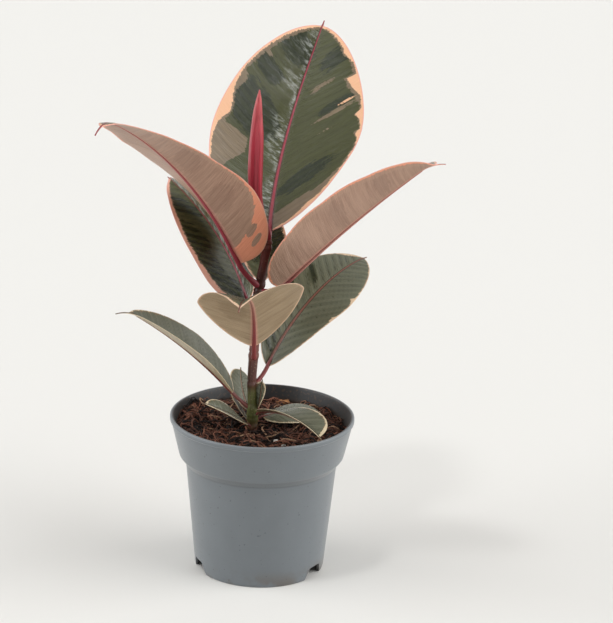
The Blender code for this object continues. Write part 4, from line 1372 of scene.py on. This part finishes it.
def make_fibres(settings, material):
    """Coir fibres strewn over the mix, many bent up off it."""
    random.seed(4021)
    stations, sides, furthest = 9, 5, 55.2 * MM
    template = bmesh.new()
    add_tube(
        template,
        [Vector((number / (stations - 1), 0.0, 0.0)) for number in range(stations)],
        [0.5 if number in (0, stations - 1) else 1.0 for number in range(stations)],
        sides,
        ups=[Vector((0.0, 0.0, 1.0))] * stations,
    )
    bmesh.ops.recalc_face_normals(template, faces=template.faces[:])
    mesh, unit = copies(template, settings.fibres, "coir_fibres")
    along = unit[:, 0]
    blocks, tones = [], []
    while len(blocks) < settings.fibres:
        angle, distance = random.uniform(0.0, 2.0 * math.pi), 55.0 * MM * math.sqrt(random.random())
        x, y = distance * math.cos(angle), distance * math.sin(angle)
        if near_stem(x, y, 5.0 * MM) or near_chip(x, y):
            continue
        length = random.triangular(4.0, 28.0, 9.0) * MM
        heading = random.uniform(0.0, 2.0 * math.pi)
        thick = random.triangular(0.14, 0.85, 0.25) * MM
        bend, lift = random.gauss(0.0, 0.9), random.triangular(0.0, 1.0, 0.1)
        line, place = [], Vector((x, y, 0.0))
        for number in range(stations):
            share = number / (stations - 1)
            turn = heading + bend * share + 0.5 * math.sin(5.0 * share + bend * 7.0)
            reach = math.hypot(place.x, place.y)
            if reach > furthest:
                place *= furthest / reach
            ground = soil_height(place.x, place.y, settings.roughness_height)
            rise = thick * 0.6 + lift * 4.2 * MM * math.sin(math.pi * min(1.0, share * 1.15)) * (length / (16.0 * MM))
            line.append(Vector((place.x, place.y, ground + rise)))
            place = place + Vector((math.cos(turn), math.sin(turn), 0.0)) * (length / (stations - 1))
        line = np.array(line)
        ahead = np.gradient(line, axis=0)
        ahead /= np.linalg.norm(ahead, axis=1)[:, None]
        side = np.cross(ahead, (0.0, 0.0, 1.0))
        side /= np.linalg.norm(side, axis=1)[:, None]
        up = np.cross(side, ahead)
        number = np.rint(along * (stations - 1)).astype(int)
        blocks.append(line[number] + (side[number] * unit[:, 1:2] + up[number] * unit[:, 2:3]) * thick)
        tones.append(random.random() ** 1.25)
    set_coordinates(mesh, np.concatenate(blocks))
    set_attribute(mesh, "tone", np.repeat(tones, len(unit)))
    finish_mesh(mesh, "coir_fibres", [material], "potting_mix")


def make_crumbs(settings, material):
    """Peat crumbs and small bark bits on the mix."""
    random.seed(7307)
    template = bmesh.new()
    bmesh.ops.create_icosphere(template, subdivisions=2, radius=1.0)
    mesh, unit = copies(template, settings.crumbs, "peat_crumbs")
    blocks, tones = [], []
    while len(blocks) < settings.crumbs:
        angle, distance = random.uniform(0.0, 2.0 * math.pi), 54.5 * MM * math.sqrt(random.random())
        x, y = distance * math.cos(angle), distance * math.sin(angle)
        if near_stem(x, y, 5.5 * MM):
            continue
        size = random.triangular(0.5, 2.6, 0.8) * MM
        spread = Vector((random.uniform(0.8, 1.5), random.uniform(0.6, 1.1), random.uniform(0.4, 0.9)))
        turn = Matrix.Rotation(random.uniform(0.0, math.tau), 3, "Z")
        turn = turn @ Matrix.Rotation(random.uniform(-0.6, 0.6), 3, "X")
        shift = Vector((random.uniform(0, 99), random.uniform(0, 99), 0.0))
        ground = soil_height(x, y, settings.roughness_height)
        block = []
        for point in unit:
            point = Vector(point)
            swell = 1.0 + 0.45 * noise.noise(point * 1.3 + shift) + 0.2 * noise.noise(point * 3.1 + shift)
            block.append(turn @ (point * swell * size * spread) + Vector((x, y, ground + 0.15 * size)))
        blocks.append(block)
        tones.append(random.triangular(0.0, 0.9, 0.15))
    set_coordinates(mesh, np.concatenate([np.array(block) for block in blocks]))
    set_attribute(mesh, "tone", np.repeat(tones, len(unit)))
    finish_mesh(mesh, "peat_crumbs", [material], "potting_mix")


def bit_material(name, light, dark, rough):
    """Bark or perlite: light faces with darker pits and cracks."""
    material, n, skin = new_material(name)
    grain = n.group(group_named("grain"), Place=n.place(), Size=1300.0)
    lines = n.noise(n.stretch(n.place(), (300.0, 1600.0, 1600.0)), 1.0, 3.0)
    tone = n.mix(n.ramp(lines, 0.40, 0.70), light, dark)
    tone = n.mix(n.math("MULTIPLY", grain["Marks"], 0.7), tone, dark)
    n.feed(skin["Base Color"], tone)
    n.feed(skin["Roughness"], n.ramp(grain["Grain"], 0.2, 0.8, rough - 0.12, rough))
    n.bump(skin, n.math("ADD", lines, grain["Grain"]), 0.7, 0.0005)
    return material


def make_bit(name, node, slot, material, raggedness):
    """A broken bit in its node's box: a cube cut finer, rounded a little and made uneven."""
    low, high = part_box(node)
    middle, half = (low + high) / 2.0, (high - low) / 2.0
    shape = bmesh.new()
    bmesh.ops.create_cube(shape, size=2.0)
    bmesh.ops.subdivide_edges(shape, edges=shape.edges[:], cuts=9, use_grid_fill=True)
    for vert in shape.verts:
        round_place = vert.co.normalized() * 1.25
        place = vert.co.lerp(round_place, 0.45)
        coarse, fine = noise.noise(place * 1.6 + middle * 900.0), noise.noise(place * 4.5)
        place *= 1.0 + raggedness * coarse + 0.4 * raggedness * fine
        vert.co = Vector([middle[axis] + place[axis] * half[axis] * 0.95 for axis in range(3)])
    bmesh.ops.recalc_face_normals(shape, faces=shape.faces[:])
    finish_mesh(mesh_from(shape, name), name, [material], slot, node)


# ---------------------------------------------------------------- stage


def make_stage(settings):
    """Pale floor, soft lights and the camera."""
    scene = bpy.context.scene
    shape = bmesh.new()
    bmesh.ops.create_grid(shape, x_segments=4, y_segments=4, size=8.0)
    floor = bpy.data.objects.new("floor", mesh_from(shape, "floor"))
    scene.collection.objects.link(floor)
    material, n, skin = new_material("floor paint")
    clouds = n.noise(n.place(), 3.0, 2.0)
    tone = n.mix(n.math("MULTIPLY", clouds, 0.04), settings.floor, shade(settings.floor, 0.9))
    n.feed(skin["Base Color"], tone)
    skin["Roughness"].default_value = 0.9
    skin["Specular IOR Level"].default_value = 0.1
    floor.data.materials.append(material)

    for name, strength, spread, way in (
        ("right_light", settings.right, 66.0, (0.93, -0.16, 0.31)),
        ("left_light", settings.left, 70.0, (-0.97, -0.10, 0.21)),
        ("top_light", settings.top, 7.0, (-0.26, -0.30, 0.92)),
    ):
        data = bpy.data.lights.new(name, "SUN")
        data.energy, data.angle = strength, math.radians(spread)
        lamp = bpy.data.objects.new(name, data)
        lamp.rotation_euler = Vector(way).to_track_quat("Z", "Y").to_euler()
        lamp.location = Vector(way) * 2.0
        scene.collection.objects.link(lamp)

    world = bpy.data.worlds.new("pale surroundings")
    world.use_nodes = True
    background = world.node_tree.nodes["Background"]
    background.inputs["Color"].default_value = (1.0, 0.995, 0.985, 1.0)
    background.inputs["Strength"].default_value = settings.sky
    scene.world = world

    make_camera(scene)
    scene.view_settings.view_transform = "Standard"
    scene.view_settings.look = "None"


def make_camera(scene):
    """A long lens a little above the rim, rolled slightly, 1.8 m from the plant."""
    elevation, roll = math.radians(18.45), math.radians(1.56)
    aim, distance = Vector((0.0269, 0.0, 0.1756)), 1.8
    back = Vector((0.0, -math.cos(elevation), math.sin(elevation)))
    level, upright = Vector((1.0, 0.0, 0.0)), Vector((0.0, math.sin(elevation), math.cos(elevation)))
    right = level * math.cos(roll) + upright * math.sin(roll)
    up = upright * math.cos(roll) - level * math.sin(roll)
    camera = bpy.data.objects.new("camera", bpy.data.cameras.new("camera"))
    camera.data.lens = 161.9
    camera.data.sensor_width = 36.0
    camera.data.clip_end = 50.0
    turn = Matrix((right, up, back)).transposed()
    camera.matrix_world = Matrix.Translation(aim + back * distance) @ turn.to_4x4()
    scene.collection.objects.link(camera)
    scene.camera = camera


# ---------------------------------------------------------------- add-on


class PLANT_OT_pot(bpy.types.Operator):
    """Make the nursery pot"""

    bl_idname = "plant.pot"
    bl_label = "Nursery pot"

    def execute(self, context):
        make_pot(context.scene.pot_settings)
        return {"FINISHED"}


class PLANT_OT_soil(bpy.types.Operator):
    """Make the potting mix with its fibres and crumbs"""

    bl_idname = "plant.soil"
    bl_label = "Potting mix"

    def execute(self, context):
        settings = context.scene.soil_settings
        litter = litter_material(settings)
        make_soil_bed(settings)
        make_fibres(settings, litter)
        make_crumbs(settings, litter)
        return {"FINISHED"}


class PLANT_OT_bits(bpy.types.Operator):
    """Make the bark chip and the perlite grains"""

    bl_idname = "plant.bits"
    bl_label = "Bark and perlite"

    def execute(self, context):
        bark = bit_material("bark, broken", (0.480, 0.230, 0.090), (0.200, 0.075, 0.030), 0.9)
        perlite = bit_material("perlite, white", (0.800, 0.770, 0.720), (0.420, 0.360, 0.300), 0.95)
        make_bit("bark_flake", "bark_chip", "bark", bark, 0.35)
        make_bit("perlite_grain_1", "perlite_1", "perlite", perlite, 0.25)
        make_bit("perlite_grain_2", "perlite_2", "perlite", perlite, 0.25)
        return {"FINISHED"}


class PLANT_OT_stem(bpy.types.Operator):
    """Make the stem"""

    bl_idname = "plant.stem"
    bl_label = "Stem"

    def execute(self, context):
        make_stem()
        return {"FINISHED"}


class PLANT_OT_sheath(bpy.types.Operator):
    """Make the red sheath over the bud"""

    bl_idname = "plant.sheath"
    bl_label = "Bud sheath"

    def execute(self, context):
        make_sheath()
        return {"FINISHED"}


class PLANT_OT_leaves(bpy.types.Operator):
    """Make every leaf"""

    bl_idname = "plant.leaves"
    bl_label = "Leaves"

    def execute(self, context):
        settings = context.scene.leaf_settings
        for number, leaf in enumerate(LEAVES):
            name = leaf.node.replace("leaf_", "").replace("_", " ")
            materials = leaf_material("leaf skin, " + name, leaf), rib_material("leaf rib, " + name, leaf)
            make_leaf(leaf, number, settings, materials)
        return {"FINISHED"}


class PLANT_OT_stage(bpy.types.Operator):
    """Make the floor, lights and camera"""

    bl_idname = "plant.stage"
    bl_label = "Stage"

    def execute(self, context):
        make_stage(context.scene.stage_settings)
        return {"FINISHED"}


class PLANT_PT_panel(bpy.types.Panel):
    """Lists the pieces of the plant"""

    bl_idname = "PLANT_PT_panel"
    bl_label = "Rubber plant"
    bl_space_type = "VIEW_3D"
    bl_region_type = "UI"
    bl_category = "Rubber plant"

    def draw(self, context):
        for operator in OPERATORS:
            self.layout.operator(operator.bl_idname)
        for name in SETTINGS:
            box = self.layout.box()
            group = getattr(context.scene, name)
            for label in group.bl_rna.properties.keys():
                if label not in ("rna_type", "name"):
                    box.prop(group, label)


OPERATORS = (
    PLANT_OT_stage,
    PLANT_OT_pot,
    PLANT_OT_soil,
    PLANT_OT_bits,
    PLANT_OT_stem,
    PLANT_OT_sheath,
    PLANT_OT_leaves,
)
SETTINGS = {
    "leaf_settings": LeafSettings,
    "pot_settings": PotSettings,
    "soil_settings": SoilSettings,
    "stage_settings": StageSettings,
}


def register():
    for settings in SETTINGS.values():
        bpy.utils.register_class(settings)
    for operator in OPERATORS:
        bpy.utils.register_class(operator)
    bpy.utils.register_class(PLANT_PT_panel)
    for name, settings in SETTINGS.items():
        setattr(bpy.types.Scene, name, PointerProperty(type=settings))


def unregister():
    for name in SETTINGS:
        delattr(bpy.types.Scene, name)
    for item in (PLANT_PT_panel, *reversed(OPERATORS), *SETTINGS.values()):
        bpy.utils.unregister_class(item)


def main():
    register()
    for operator in OPERATORS:
        group, call = operator.bl_idname.split(".")
        getattr(getattr(bpy.ops, group), call)()


if __name__ == "__main__":
    main()
